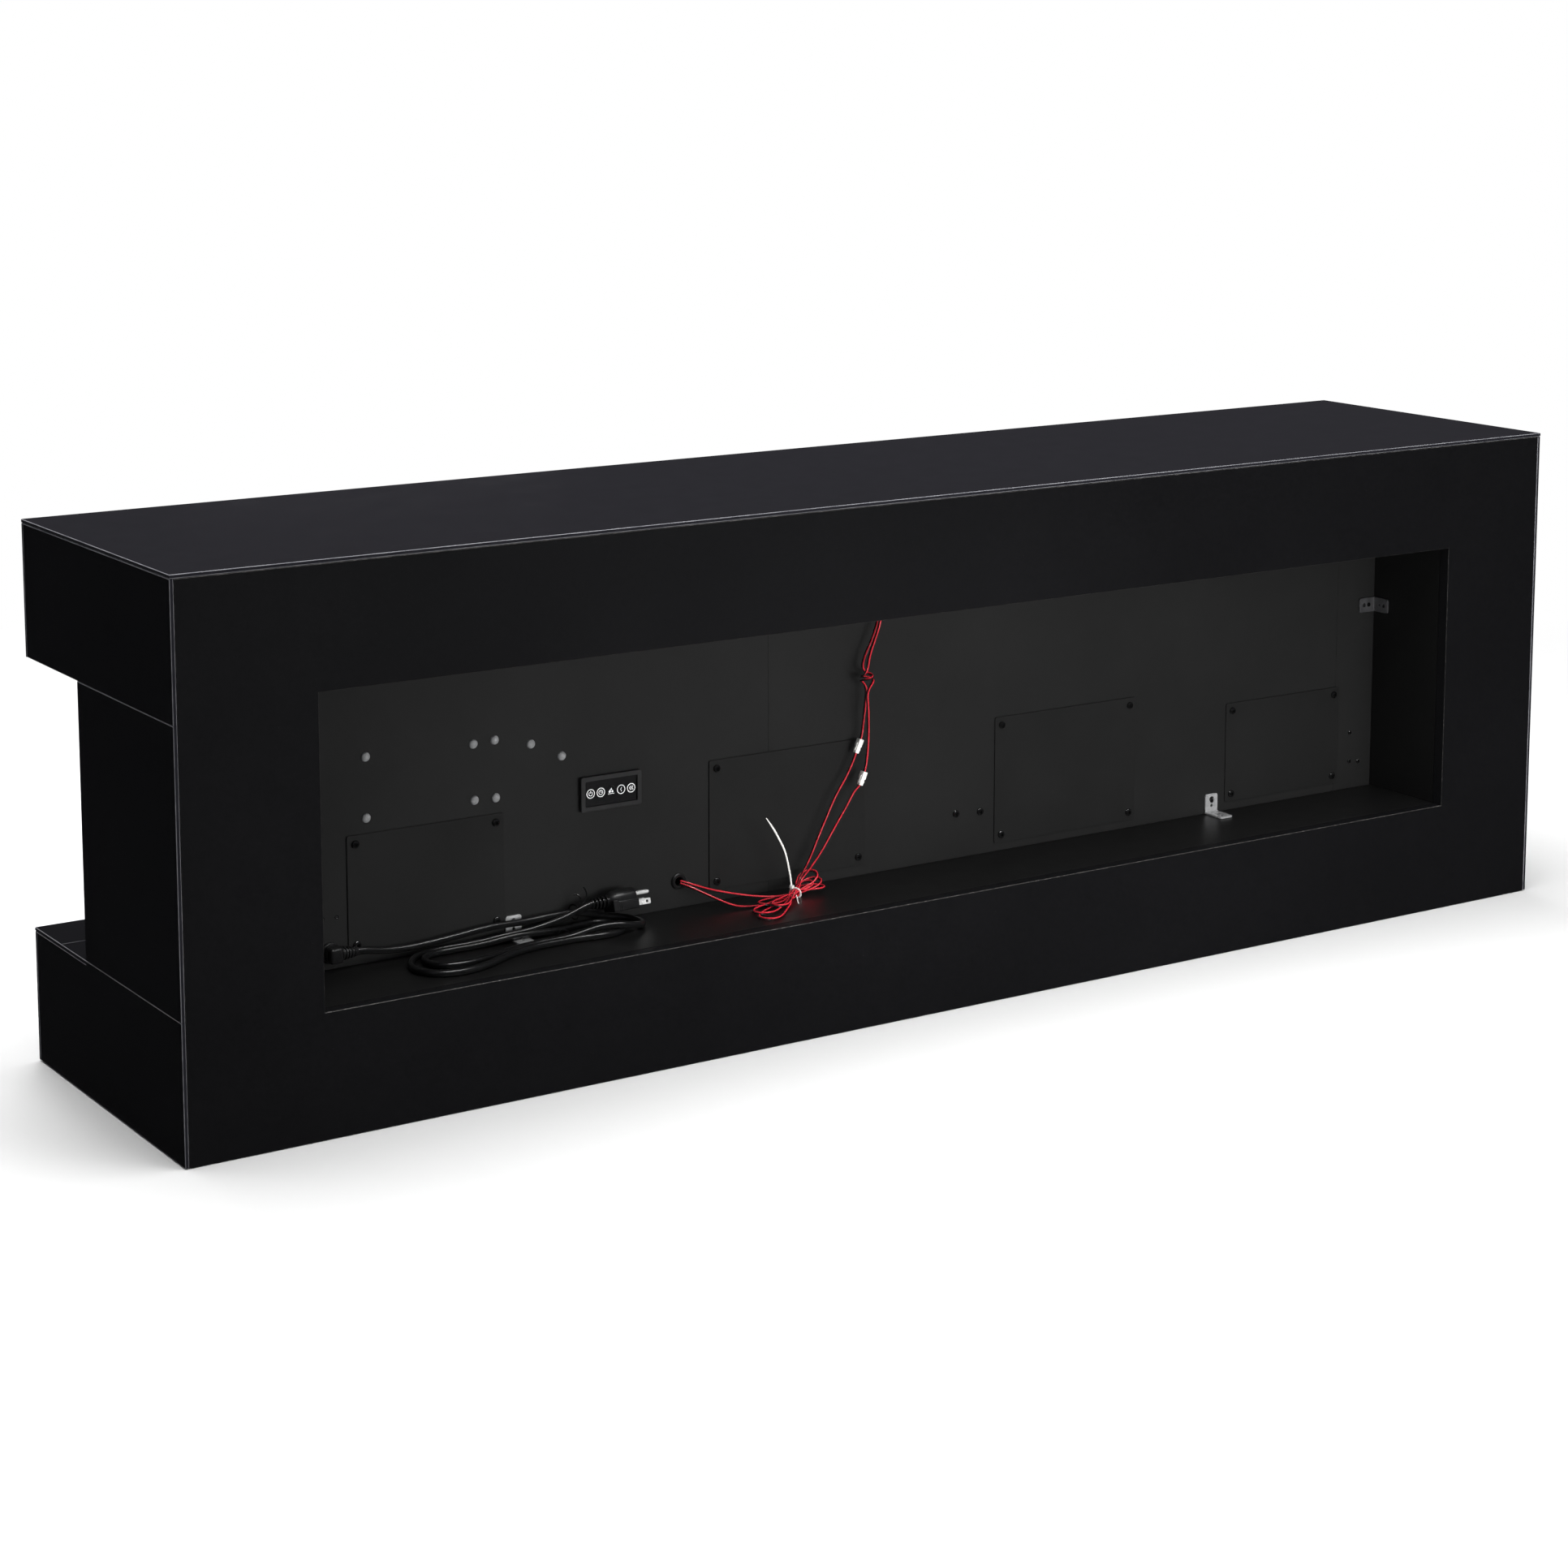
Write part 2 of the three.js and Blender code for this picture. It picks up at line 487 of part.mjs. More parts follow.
// ---------------------------------------------------------------- mains lead
function addMainsLead() {
  const { x, y, z, boot } = GLAND;
  const neck = new THREE.LatheGeometry([
    new THREE.Vector2(0, -6), new THREE.Vector2(8.2, -6), new THREE.Vector2(8.2, 2),
    new THREE.Vector2(4.6, boot), new THREE.Vector2(0, boot),
  ], 16);
  neck.rotateZ(Math.PI / 2).translate(x, y, z);
  const flange = rodY(11, x, SHEET_FACE + GAP, SHEET_FACE + 3.5, z);
  const barrel = rodY(7.2, x, SHEET_FACE - SHEET, y, z);
  place('mains_gland', join(neck, [flange, barrel]), 'rubber');
  place('mains_cord', tube(MAINS_ROUTE, CORD_RADIUS, 8, 10), 'rubber');
  const { x: bracketX, width, floorLeaf } = FLOOR_BRACKETS.left;
  const overBracket = block(
    bracketX - width / 2 - GAP, bracketX + width / 2 + GAP, SHEET_FACE, SHEET_FACE + floorLeaf + 2 * GAP,
    RECESS_FLOOR, MAINS_HANK.top + 1,
  );
  place('mains_hank', cut(hank(MAINS_HANK), [overBracket]), 'rubber');

  const face = PLUG.face;
  const back = face + 33;
  const centre = PLUG.z + 6;
  const body = alongX(rectangle(PLUG.y - 12.5, PLUG.y + 12.5, centre - 12, centre + 12), face, back, 2);
  const relief = rodX(6, back - 1, back + 5, PLUG.y, centre, 12);
  const ribs = [8, 12.5, 17].map((at) => rodX(5.6 - at / 12, back + at - 2.6, back + at, PLUG.y, centre, 12));
  const stem = rodX(4.2, back, back + 20, PLUG.y, centre, 12);
  const blades = [-6.35, 6.35].map((offset) => (
    block(face - 16, face + 1, PLUG.y + offset - 0.75, PLUG.y + offset + 0.75, PLUG.z - 3.2, PLUG.z + 3.2)
  ));
  const pin = rodX(2.4, face - 19, face + 1, PLUG.y, PLUG.z + 11.9, 12);
  place('mains_plug', join(body, [relief, stem, ...ribs, ...blades, pin]), 'rubber');
}

// ---------------------------------------------------------------- low-voltage leads
function addLeads() {
  const collar = rodY(8.4, GROMMET.x, SHEET_FACE + GAP, SHEET_FACE + 2.4, GROMMET.z);
  const sleeve = rodY(6, GROMMET.x, SHEET_FACE - 3, SHEET_FACE + 1, GROMMET.z);
  place('lead_grommet', join(collar, [sleeve]), 'rubber');
  place('lead_pair', tube(PAIR_ROUTE, 2.4, 16), 'leadInsulation');
  place('lead_hank', hank(LEAD_HANK), 'leadInsulation');
  place('lead_a', tube(LEAD_A_ROUTE, LEAD_RADIUS, 40), 'leadInsulation');
  place('lead_b', tube(LEAD_B_ROUTE, LEAD_RADIUS, 40), 'leadInsulation');
  for (const [name, foot, head] of [
    ['a', LEAD_A_ROUTE[8], LEAD_A_ROUTE[10]],
    ['b', LEAD_B_ROUTE[8], LEAD_B_ROUTE[10]],
  ]) {
    const start = new THREE.Vector3(...foot);
    const end = new THREE.Vector3(...head);
    const length = start.distanceTo(end);
    const housing = new THREE.BoxGeometry(6.4, 5.6, length * 0.56).translate(0, 0, length * 0.22);
    const tail = new THREE.BoxGeometry(5, 4.8, length * 0.5).translate(0, 0, -length * 0.25);
    const bore = new THREE.CylinderGeometry(1.95, 1.95, length * 2, 10).rotateX(Math.PI / 2);
    const shell = cut(join(housing, [tail]), [bore]);
    const turn = new THREE.Quaternion().setFromUnitVectors(
      new THREE.Vector3(0, 0, 1),
      end.clone().sub(start).normalize(),
    );
    shell.applyQuaternion(turn).translate(...start.add(end).multiplyScalar(0.5).toArray());
    place(`connector_${name}`, shell, 'whitePlastic');
  }
}

addCarcass();
addGlass();
addInsert();
addFlameEffect();
addHeater();
addControls();
addBrackets();
addMainsLead();
addLeads();

export default object;
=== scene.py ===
import math
import random

import bmesh
import bpy
import numpy as np
from mathutils import Matrix, Vector


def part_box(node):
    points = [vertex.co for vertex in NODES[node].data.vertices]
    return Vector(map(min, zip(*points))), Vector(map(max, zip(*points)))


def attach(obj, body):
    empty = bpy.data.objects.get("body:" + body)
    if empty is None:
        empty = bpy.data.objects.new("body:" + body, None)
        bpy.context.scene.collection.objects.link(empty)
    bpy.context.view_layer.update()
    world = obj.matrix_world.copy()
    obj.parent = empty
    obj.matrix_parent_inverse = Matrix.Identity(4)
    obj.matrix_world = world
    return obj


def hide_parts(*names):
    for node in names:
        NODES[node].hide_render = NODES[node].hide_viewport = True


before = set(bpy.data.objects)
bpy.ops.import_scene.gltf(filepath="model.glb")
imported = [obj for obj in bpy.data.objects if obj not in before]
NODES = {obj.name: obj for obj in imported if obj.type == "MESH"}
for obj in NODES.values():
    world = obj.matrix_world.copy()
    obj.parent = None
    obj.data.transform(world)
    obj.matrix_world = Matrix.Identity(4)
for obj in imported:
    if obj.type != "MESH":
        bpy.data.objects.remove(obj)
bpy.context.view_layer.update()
MM = 0.001
BODY = "surround"
UP = Vector((0, 0, 1))
ALONG_X, ALONG_Y = Vector((1, 0, 0)), Vector((0, 1, 0))

# ---------------------------------------------------------------- measures from part.mjs, mm
SHEET_FACE = 68.0
GAP = 0.3
RECESS_FLOOR = 130.0
RECESS_CEILING = 450.0
RECESS_HALF_L = 750.0
COVERS = [(483, 664, 142, 267), (22, 229, 143, 289), (-368.5, -160, 140, 289), (-694, -510, 141, 263)]
COVER_INSET = 9.5
COVER_THICKNESS = 1.2
RIVETS = [
    (640.7, 347), (641, 283), (517, 344.6), (491.9, 345.7),
    (449, 335.9), (412, 318.2), (516.5, 284.5), (491.4, 283.7),
]
KEYPAD = {"x": 353.8, "z": 273.0, "width": 74.5, "height": 38.0, "border": 5.0, "face": 71.3}
KEY_PITCH = 12.5
KEY_RADIUS = 5.5
BRACKET_PLATE = 2.0
FLOOR_BRACKETS = {"floor_bracket_left": 473.0, "floor_bracket_right": -488.5}
GLAND = (684.4, 77.0, 147.6)
GROMMET = (268.3, 159.9)
PLUG_FACE, PLUG_Y, PLUG_Z = 334.5, 85.0, 150.3
PLUG_CENTRE_Z = PLUG_Z + 6
CORD_DIAMETER = 7.5
CORNER_BRACKET_Z = 362.0

# ---------------------------------------------------------------- details that only this script makes, mm
# these four are places on the sheet, read in the photograph through the fitted camera
SHEET_SCREWS = [(-105.6, 182.7), (-140, 180.7)]
SMALL_SCREWS = [(-714.2, 201.4), (-714.2, 165), (-729, 163)]
PILOT_HOLES = [(676.2, 184), (692.2, 184)]
SHEET_SEAMS = [150.8, -688.9]
PLUG_ROLL = 0.24
WIRE_RADIUS = 0.85
RED_SIDE = Vector((-0.35, 0.75, 0.55))  # the way the red wire of each twin lead faces
PRINT = 0.12  # thickness of the key symbols
BROAD_FACE = 0.0002  # square metres above which a face is shaded flat

# ---------------------------------------------------------------- cord routes, mm
# a point with no height of its own lies on the floor, at MAINS_LAY
MAINS_ROUTE = [
    (659.8, 77, 147.6), (652, 77, 147.4), (635, 77, 144.4), (614, 77, 142), (593, 77, 141.8),
    (564, 77, 143.3), (541, 77, 145.2), (517, 76.5, 147.2), (493, 76, 147.9), (470, 75.5, 147.2),
    (453, 75, 147.3), (440, 75, 147.8), (425, 75, 148.2), (410, 74.8, 148), (395, 75, 146.2),
    (382, 75.3, 143),
    # first turn at the plug's end
    (371, 75.3, 139.4), (360, 75.5, 136.8), (348, 78.7, 135.2), (339.1, 87.6, 134.1),
    (335.9, 99.6, 134), (339.1, 111.6, 134.4), (348, 120.5, 136.4), (360, 123.7, 139.2),
    (372, 123.2, 141.3), (385, 120.4, 141.8), (399, 116.6, 140.3), (414, 113.8, 136.6),
    (430, 113, 134.2),
    # out to the inner turn at the gland's end
    (455, 113.2), (476, 114.4), (508, 121.4), (535, 131), (555, 135.4), (572, 135.6), (584.3, 132.3),
    (593.3, 123.3), (596.6, 111), (593.3, 98.7), (584.3, 89.7), (572, 86.4), (556, 86), (541, 86),
    (521, 86, 134), (500, 86, 135.4), (485, 86, 136.5), (468, 86, 136.6), (450, 86, 135.6),
    (430, 84, 134.2), (412, 80.4), (398, 78),
    # second turn at the plug's end
    (386, 77), (373.7, 80.2), (364.7, 89.2), (361.4, 101.4), (364.7, 113.6), (373.7, 122.6),
    (386, 125.8), (402, 125), (420, 121.8), (448, 121.6), (476, 123), (500, 128.6), (516, 135),
    (530, 142.6),
    # outer turn at the gland's end
    (545, 150.4), (562, 156.6), (581, 158.8), (599, 154.6), (612, 144), (617.4, 129.5), (615.4, 114),
    (608.4, 99.6), (597, 87.6), (583, 79.8), (566, 77), (541, 77.2), (521, 77.5, 134),
    (500, 77.5, 135.4), (485, 77.5, 136.5), (468, 77.5, 136.9), (452, 77.8, 138.2), (440, 78.7, 140.4),
    (428, 81.4, 143.4), (416, 84, 147.4), (406, 85.4, 151.4), (397, 85.4, 154.8), (388, 85, 156.3),
]
MAINS_LAY = 133.9
# the tie of the lead bundle, with directions along its bow (u) and across it (v)
NECK = (138.0, 102.0, 134.5)
BOW_U = (0.861, 0.508)
BOW_V = (-0.508, 0.861)
# each lead passes the tie at (v, z), between loops of (tip u, tip v, half width, height, leans on the sheet)
LEAD_A = {
    "into": [(268.3, 72.6, 160.6), (264, 77, 159.3), (256, 81.6, 156.4), (244, 86.4, 152),
        (230, 90.6, 147.6), (210, 94.6, 142.4), (192, 98.4, 138.4), (174, 101.6, 135.6),
        (158, 103.4, 134)],
    "passes": [(-3.3, 133.6), (1.2, 132.4), (-1.2, 135.4), (2.8, 135.2), (-1.0, 138.2)],
    "loops": [(-35, 4, 11, 152, True), (98, 12, 12, 131.9, False), (-24, 6, 8.5, 143, True),
        (54, -14, 10.5, 133.6, False)],
    "leg": [(122, 86.5, 144.6), (117, 85, 150.5), (106, 84.5, 168), (97, 84, 185.5), (84, 83, 209),
        (70.6, 82, 231.8), (57, 81, 250), (48, 80, 264), (42.5, 80, 276), (39.2, 80, 283.5),
        (36, 80, 291), (33, 80, 307), (30.6, 80, 324), (28.8, 79.6, 338)],
    "knot": [(28.2, 78.6, 349), (31.6, 78, 354.6), (36, 80, 357.4), (38, 85, 359), (36, 90, 360.2),
        (31, 92, 361.4), (26, 90, 362.6), (24, 85, 363.8), (26, 80, 365.2), (30.6, 77.8, 368),
        (33, 78.6, 374)],
    "rise": [(31.4, 79.4, 383), (25, 79.6, 396), (17, 79, 412), (11.4, 78.4, 429), (9.2, 78, 441),
        (9, 78, 449.4)],
}
LEAD_B = {
    "into": [(268.3, 72.6, 158), (262.6, 78.4, 155.6), (254, 85.4, 151), (244, 92.6, 145.4),
        (233, 100.4, 139.4), (221, 107.6, 134.2), (206, 112.6, 132), (188, 114.6, 131.8),
        (168, 111.4, 131.8), (154, 107.4, 132)],
    "passes": [(-0.9, 131.8), (3.6, 132.6), (-3.4, 136.8), (4.8, 137.2), (1.6, 137.9)],
    "loops": [(-30, 13, 10.4, 146, True), (86, -2, 11.5, 133.4, False), (-33, 15, 11, 137, True),
        (58, 5, 9, 135.4, False)],
    "leg": [(123, 91.6, 145), (116.5, 91.5, 151.5), (106, 91.3, 162), (94, 91, 176),
        (87.4, 90.4, 184.6), (71, 89, 206), (56, 88, 226), (48, 87.5, 236), (41.7, 87, 240.5),
        (38.7, 87, 247.8), (35.7, 87, 255), (32.6, 87, 270), (31, 87, 286), (31, 87.6, 312),
        (33, 89, 334)],
    "knot": [(33.8, 91.2, 348.5), (30.4, 92.2, 354.6), (26, 90, 357.4), (24, 85, 359), (26, 80, 360.2),
        (31, 78, 361.4), (36, 80, 362.6), (38, 85, 363.8), (37.2, 89.4, 366.4), (34.6, 90.4, 372.4)],
    "rise": [(31.5, 88.6, 382), (25.5, 86.4, 395), (17.5, 84.8, 411), (11.6, 83.8, 428),
        (9.3, 83.2, 441), (9, 83, 449.4)],
}
CONNECTOR_STEPS = (8, 10)  # the points of each leg that its connector lies between
MAINS_STEP, LEAD_STEP = 3.0, 1.6  # mm between samples of a route
MAINS_RELAX, LEAD_RELAX = 6, 5  # passes that even out the bends

# ---------------------------------------------------------------- the photograph's viewing angle
CAMERA_PLACE = (2.0665, 3.0274, 1.1220)
CAMERA_YAW, CAMERA_PITCH = 0.5793, -0.1463
LENS, SHIFT_Y = 75.122, -0.20


def metres(point):
    return Vector(point) * MM


def shift(x, y, z):
    """A move by millimetres."""
    return Matrix.Translation(metres((x, y, z)))


def add_object(name, data):
    obj = bpy.data.objects.new(name, data)
    bpy.context.scene.collection.objects.link(obj)
    return obj


# ---------------------------------------------------------------- camera, floor and light
def make_camera():
    cam = bpy.data.cameras.new("camera")
    cam.sensor_width = 36
    cam.lens = LENS
    cam.shift_y = SHIFT_Y
    obj = add_object("camera", cam)
    obj.location = CAMERA_PLACE
    obj.rotation_euler = (math.pi / 2 + CAMERA_PITCH, 0, math.pi - CAMERA_YAW)
    bpy.context.scene.camera = obj


class Nodes:
    """A short way to write a shader tree."""

    def __init__(self, tree):
        self.tree = tree
        tree.nodes.clear()

    def add(self, kind, inputs=(), **settings):
        node = self.tree.nodes.new(kind)
        for key, value in settings.items():
            setattr(node, key, value)
        for key, value in dict(inputs).items():
            if isinstance(value, bpy.types.NodeSocket):
                self.tree.links.new(value, node.inputs[key])
            else:
                node.inputs[key].default_value = value
        return node

    def maths(self, operation, a, b=0.5, clamp=False):
        return self.add("ShaderNodeMath", {0: a, 1: b}, operation=operation, use_clamp=clamp).outputs[0]

    def ramp(self, value, stops):
        node = self.add("ShaderNodeValToRGB", {"Fac": value})
        ramp = node.color_ramp
        while len(ramp.elements) < len(stops):
            ramp.elements.new(0.5)
        for element, (place, shade) in zip(ramp.elements, stops):
            element.position = place
            element.color = (shade, shade, shade, 1) if isinstance(shade, (int, float)) else (*shade, 1)
        return node.outputs["Color"]

    def noise(self, scale, detail=2.0, roughness=0.5, vector=None):
        inputs = {"Scale": scale, "Detail": detail, "Roughness": roughness}
        inputs["Vector"] = self.place() if vector is None else vector
        return self.add("ShaderNodeTexNoise", inputs).outputs["Fac"]

    def place(self):
        return self.add("ShaderNodeTexCoord").outputs["Object"]

    def mix(self, factor, a, b):
        node = self.add("ShaderNodeMix", data_type="RGBA")
        for key, value in ((0, factor), (6, a), (7, b)):
            if isinstance(value, bpy.types.NodeSocket):
                self.tree.links.new(value, node.inputs[key])
            else:
                node.inputs[key].default_value = (*value, 1) if isinstance(value, tuple) else value
        return node.outputs[2]


def make_world():
    world = bpy.data.worlds.new("studio")
    bpy.context.scene.world = world
    world.use_nodes = True
    n = Nodes(world.node_tree)
    path = n.add("ShaderNodeLightPath")
    direction = n.add("ShaderNodeTexCoord").outputs["Generated"]
    rise = n.add("ShaderNodeSeparateXYZ", {0: direction}).outputs["Z"]
    level = n.maths("MULTIPLY_ADD", rise, 0.5)
    level.node.inputs[2].default_value = 0.5
    # what gloss reflects: a dark room below the horizon, a dim ceiling above it
    seen_in_gloss = n.ramp(level, [
        (0.30, 0.012), (0.49, (0.016, 0.016, 0.018)),
        (0.53, (0.040, 0.039, 0.047)), (0.72, (0.075, 0.075, 0.082)),
    ])
    soft = n.mix(path.outputs["Is Glossy Ray"], (0.23, 0.23, 0.236), seen_in_gloss)
    colour = n.mix(path.outputs["Is Camera Ray"], soft, (1.0, 1.0, 1.0))
    background = n.add("ShaderNodeBackground", {"Color": colour, "Strength": 1.0})
    output = n.add("ShaderNodeOutputWorld")
    n.tree.links.new(background.outputs[0], output.inputs[0])


def softbox(name, place, target, size, power, glossy=True, diffuse=True):
    light = bpy.data.lights.new(name, "AREA")
    light.shape = "RECTANGLE"
    light.size, light.size_y = size
    light.energy = power
    obj = add_object(name, light)
    obj.location = place
    obj.rotation_euler = (Vector(target) - Vector(place)).to_track_quat("-Z", "Y").to_euler()
    obj.visible_camera = False
    obj.visible_glossy = glossy
    obj.visible_diffuse = diffuse


def make_stage():
    bpy.ops.mesh.primitive_plane_add(size=40)
    floor = bpy.context.object
    floor.name = "floor"
    floor.location.z = -0.0005
    floor.visible_glossy = False
    material = bpy.data.materials.new("studio_floor")
    material.use_nodes = True
    n = Nodes(material.node_tree)
    colour = n.ramp(n.noise(1.5), [(0.3, (0.43, 0.43, 0.43)), (0.7, (0.44, 0.44, 0.44))])
    shader = n.add("ShaderNodeBsdfPrincipled", {
        "Base Color": colour, "Roughness": 0.9, "Specular IOR Level": 0.0,
    })
    # past the light's reach the floor fades to the white of the backdrop
    distance = n.add("ShaderNodeVectorMath", {0: n.place()}, operation="LENGTH").outputs["Value"]
    faded = n.maths("DIVIDE", distance, 5.0)
    seen = n.add("ShaderNodeLightPath").outputs["Is Camera Ray"]
    share = n.maths("MULTIPLY", n.ramp(faded, [(0.26, 0.0), (0.50, 1.0)]), seen)
    glow = n.add("ShaderNodeEmission", {"Color": (1, 1, 1, 1), "Strength": 1.0})
    blend = n.add("ShaderNodeMixShader", {0: share, 1: shader.outputs[0], 2: glow.outputs[0]})
    output = n.add("ShaderNodeOutputMaterial")
    n.tree.links.new(blend.outputs[0], output.inputs[0])
    floor.data.materials.append(material)


def make_lights():
    softbox("overhead", (0.2, 0.1, 3.6), (0, 0.0, 0), (4.5, 3.0), 445, glossy=False)
    softbox("behind_camera", (-0.5, 4.4, 2.0), (-0.3, 0, 0.3), (1.6, 1.4), 14, glossy=False)
    softbox("front_fill", (-0.6, -4.2, 2.4), (0, 0, 0.3), (3.5, 2.0), 190, glossy=False)
    softbox("front_window", (-1.35, -4.0, 0.62), (-0.3, -0.2, 0.3), (0.9, 0.95), 2.8, diffuse=False)
    softbox("niche_fill", (0.1, -1.9, 0.75), (0.0, -0.05, 0.25), (1.6, 0.3), 14, glossy=False)
    softbox("recess_fill", (-0.10, 1.15, 0.36), (-0.08, 0.1, 0.22), (0.7, 0.3), 9.5, glossy=False)
    softbox("low_fill", (-0.5, 1.7, 0.20), (-0.35, 0.19, 0.04), (1.2, 0.3), 19, glossy=False)
    softbox("strip_cords", (0.1, 1.65, 3.1), (0.3, 0.1, 0.14), (2.6, 0.22), 60, diffuse=False)


# ---------------------------------------------------------------- materials
def surface(name, base, roughness, specular, mottle, grain, metallic=0.0, coat=0.0, rough_spread=0.06,
            dust=0.0, alpha=1.0, transmission=0.0, extra=None, bump2=None):
    """A procedural finish: mottled colour, uneven roughness, fine grain in the bump and a little dust."""
    material = bpy.data.materials.new(name)
    material.use_nodes = True
    n = Nodes(material.node_tree)
    cloud = n.noise(mottle[0], 4.0, 0.6)
    low = tuple(c * (1 - mottle[1]) for c in base)
    high = tuple(min(1.0, c * (1 + mottle[1])) for c in base)
    colour = n.ramp(cloud, [(0.35, low), (0.65, high)])
    fine = n.noise(grain[0], 2.0, 0.55)
    speck = n.ramp(fine, [(0.3, 0.86), (0.7, 1.14)])
    speckled = n.add("ShaderNodeMix", {0: 1.0, 6: colour, 7: speck}, data_type="RGBA", blend_type="MULTIPLY")
    colour = speckled.outputs[2]
    if dust:
        flecks = n.noise(330.0, 3.0, 0.65)
        mask = n.ramp(flecks, [(0.735, 0.0), (0.77, dust)])
        patch = n.ramp(n.noise(9.0, 2.0), [(0.42, 0.15), (0.62, 1.0)])
        colour = n.mix(n.maths("MULTIPLY", mask, patch), colour, (0.13, 0.13, 0.135))
    if extra:
        colour = extra(n, colour)
    smoother, rougher = max(0.02, roughness - rough_spread), min(1.0, roughness + rough_spread)
    rough = n.ramp(n.noise(28.0, 3.0), [(0.3, smoother), (0.7, rougher)])
    bump = n.add("ShaderNodeBump", {"Height": fine, "Strength": grain[1], "Distance": grain[2]})
    if bump2:
        wave = n.noise(bump2[0], 2.0)
        bump = n.add("ShaderNodeBump", {"Height": wave, "Strength": bump2[1], "Distance": bump2[2],
                                        "Normal": bump.outputs[0]})
    shader = n.add("ShaderNodeBsdfPrincipled", {
        "Base Color": colour, "Roughness": rough, "Metallic": metallic, "Specular IOR Level": specular,
        "IOR": 1.5, "Coat Weight": coat, "Coat Roughness": 0.08, "Alpha": alpha,
        "Transmission Weight": transmission, "Normal": bump.outputs[0],
    })
    output = n.add("ShaderNodeOutputMaterial")
    n.tree.links.new(shader.outputs[0], output.inputs[0])
    return material


def pane_edges(axis):
    """The arris of a glass pane is painted light, a painted highlight broken up by wear, and the narrow face
    between its arrises is dark.
    """
    def paint(n, colour):
        normal = n.add("ShaderNodeNewGeometry").outputs["True Normal"]
        split = n.add("ShaderNodeSeparateXYZ", {0: normal})
        facing = n.maths("ABSOLUTE", split.outputs[axis])
        broad = n.ramp(facing, [(0.9, 0.0), (0.97, 1.0)])
        arris = n.ramp(facing, [(0.3, 0.0), (0.5, 1.0)])
        # painted highlight on the arrises, uneven like wear
        arris_wear_and_highlight = n.ramp(n.noise(60.0, 4.0, 0.7), [(0.25, (0.07, 0.07, 0.08)), (0.7, (0.17, 0.17, 0.18))])
        edge = n.mix(arris, (0.009, 0.009, 0.011), arris_wear_and_highlight)
        return n.mix(broad, edge, colour)
    return paint


def rim_chips(n, colour):
    """The arris of the back panel is worn to a thin light line, most of all below the window."""
    normal = n.add("ShaderNodeNewGeometry").outputs["True Normal"]
    parts = n.add("ShaderNodeSeparateXYZ", {0: normal})
    facing = n.maths("ABSOLUTE", parts.outputs["Y"])
    arris = n.ramp(facing, [(0.3, 0.0), (0.5, 1.0), (0.9, 1.0), (0.97, 0.0)])
    upward = n.ramp(parts.outputs["Z"], [(0.2, 0.35), (0.6, 1.0)])
    chips = n.ramp(n.noise(170.0, 6.0, 0.8), [(0.46, 0.12), (0.66, 1.0)])
    mask = n.maths("MULTIPLY", n.maths("MULTIPLY", arris, upward), chips)
    return n.mix(mask, colour, (0.08, 0.076, 0.072))


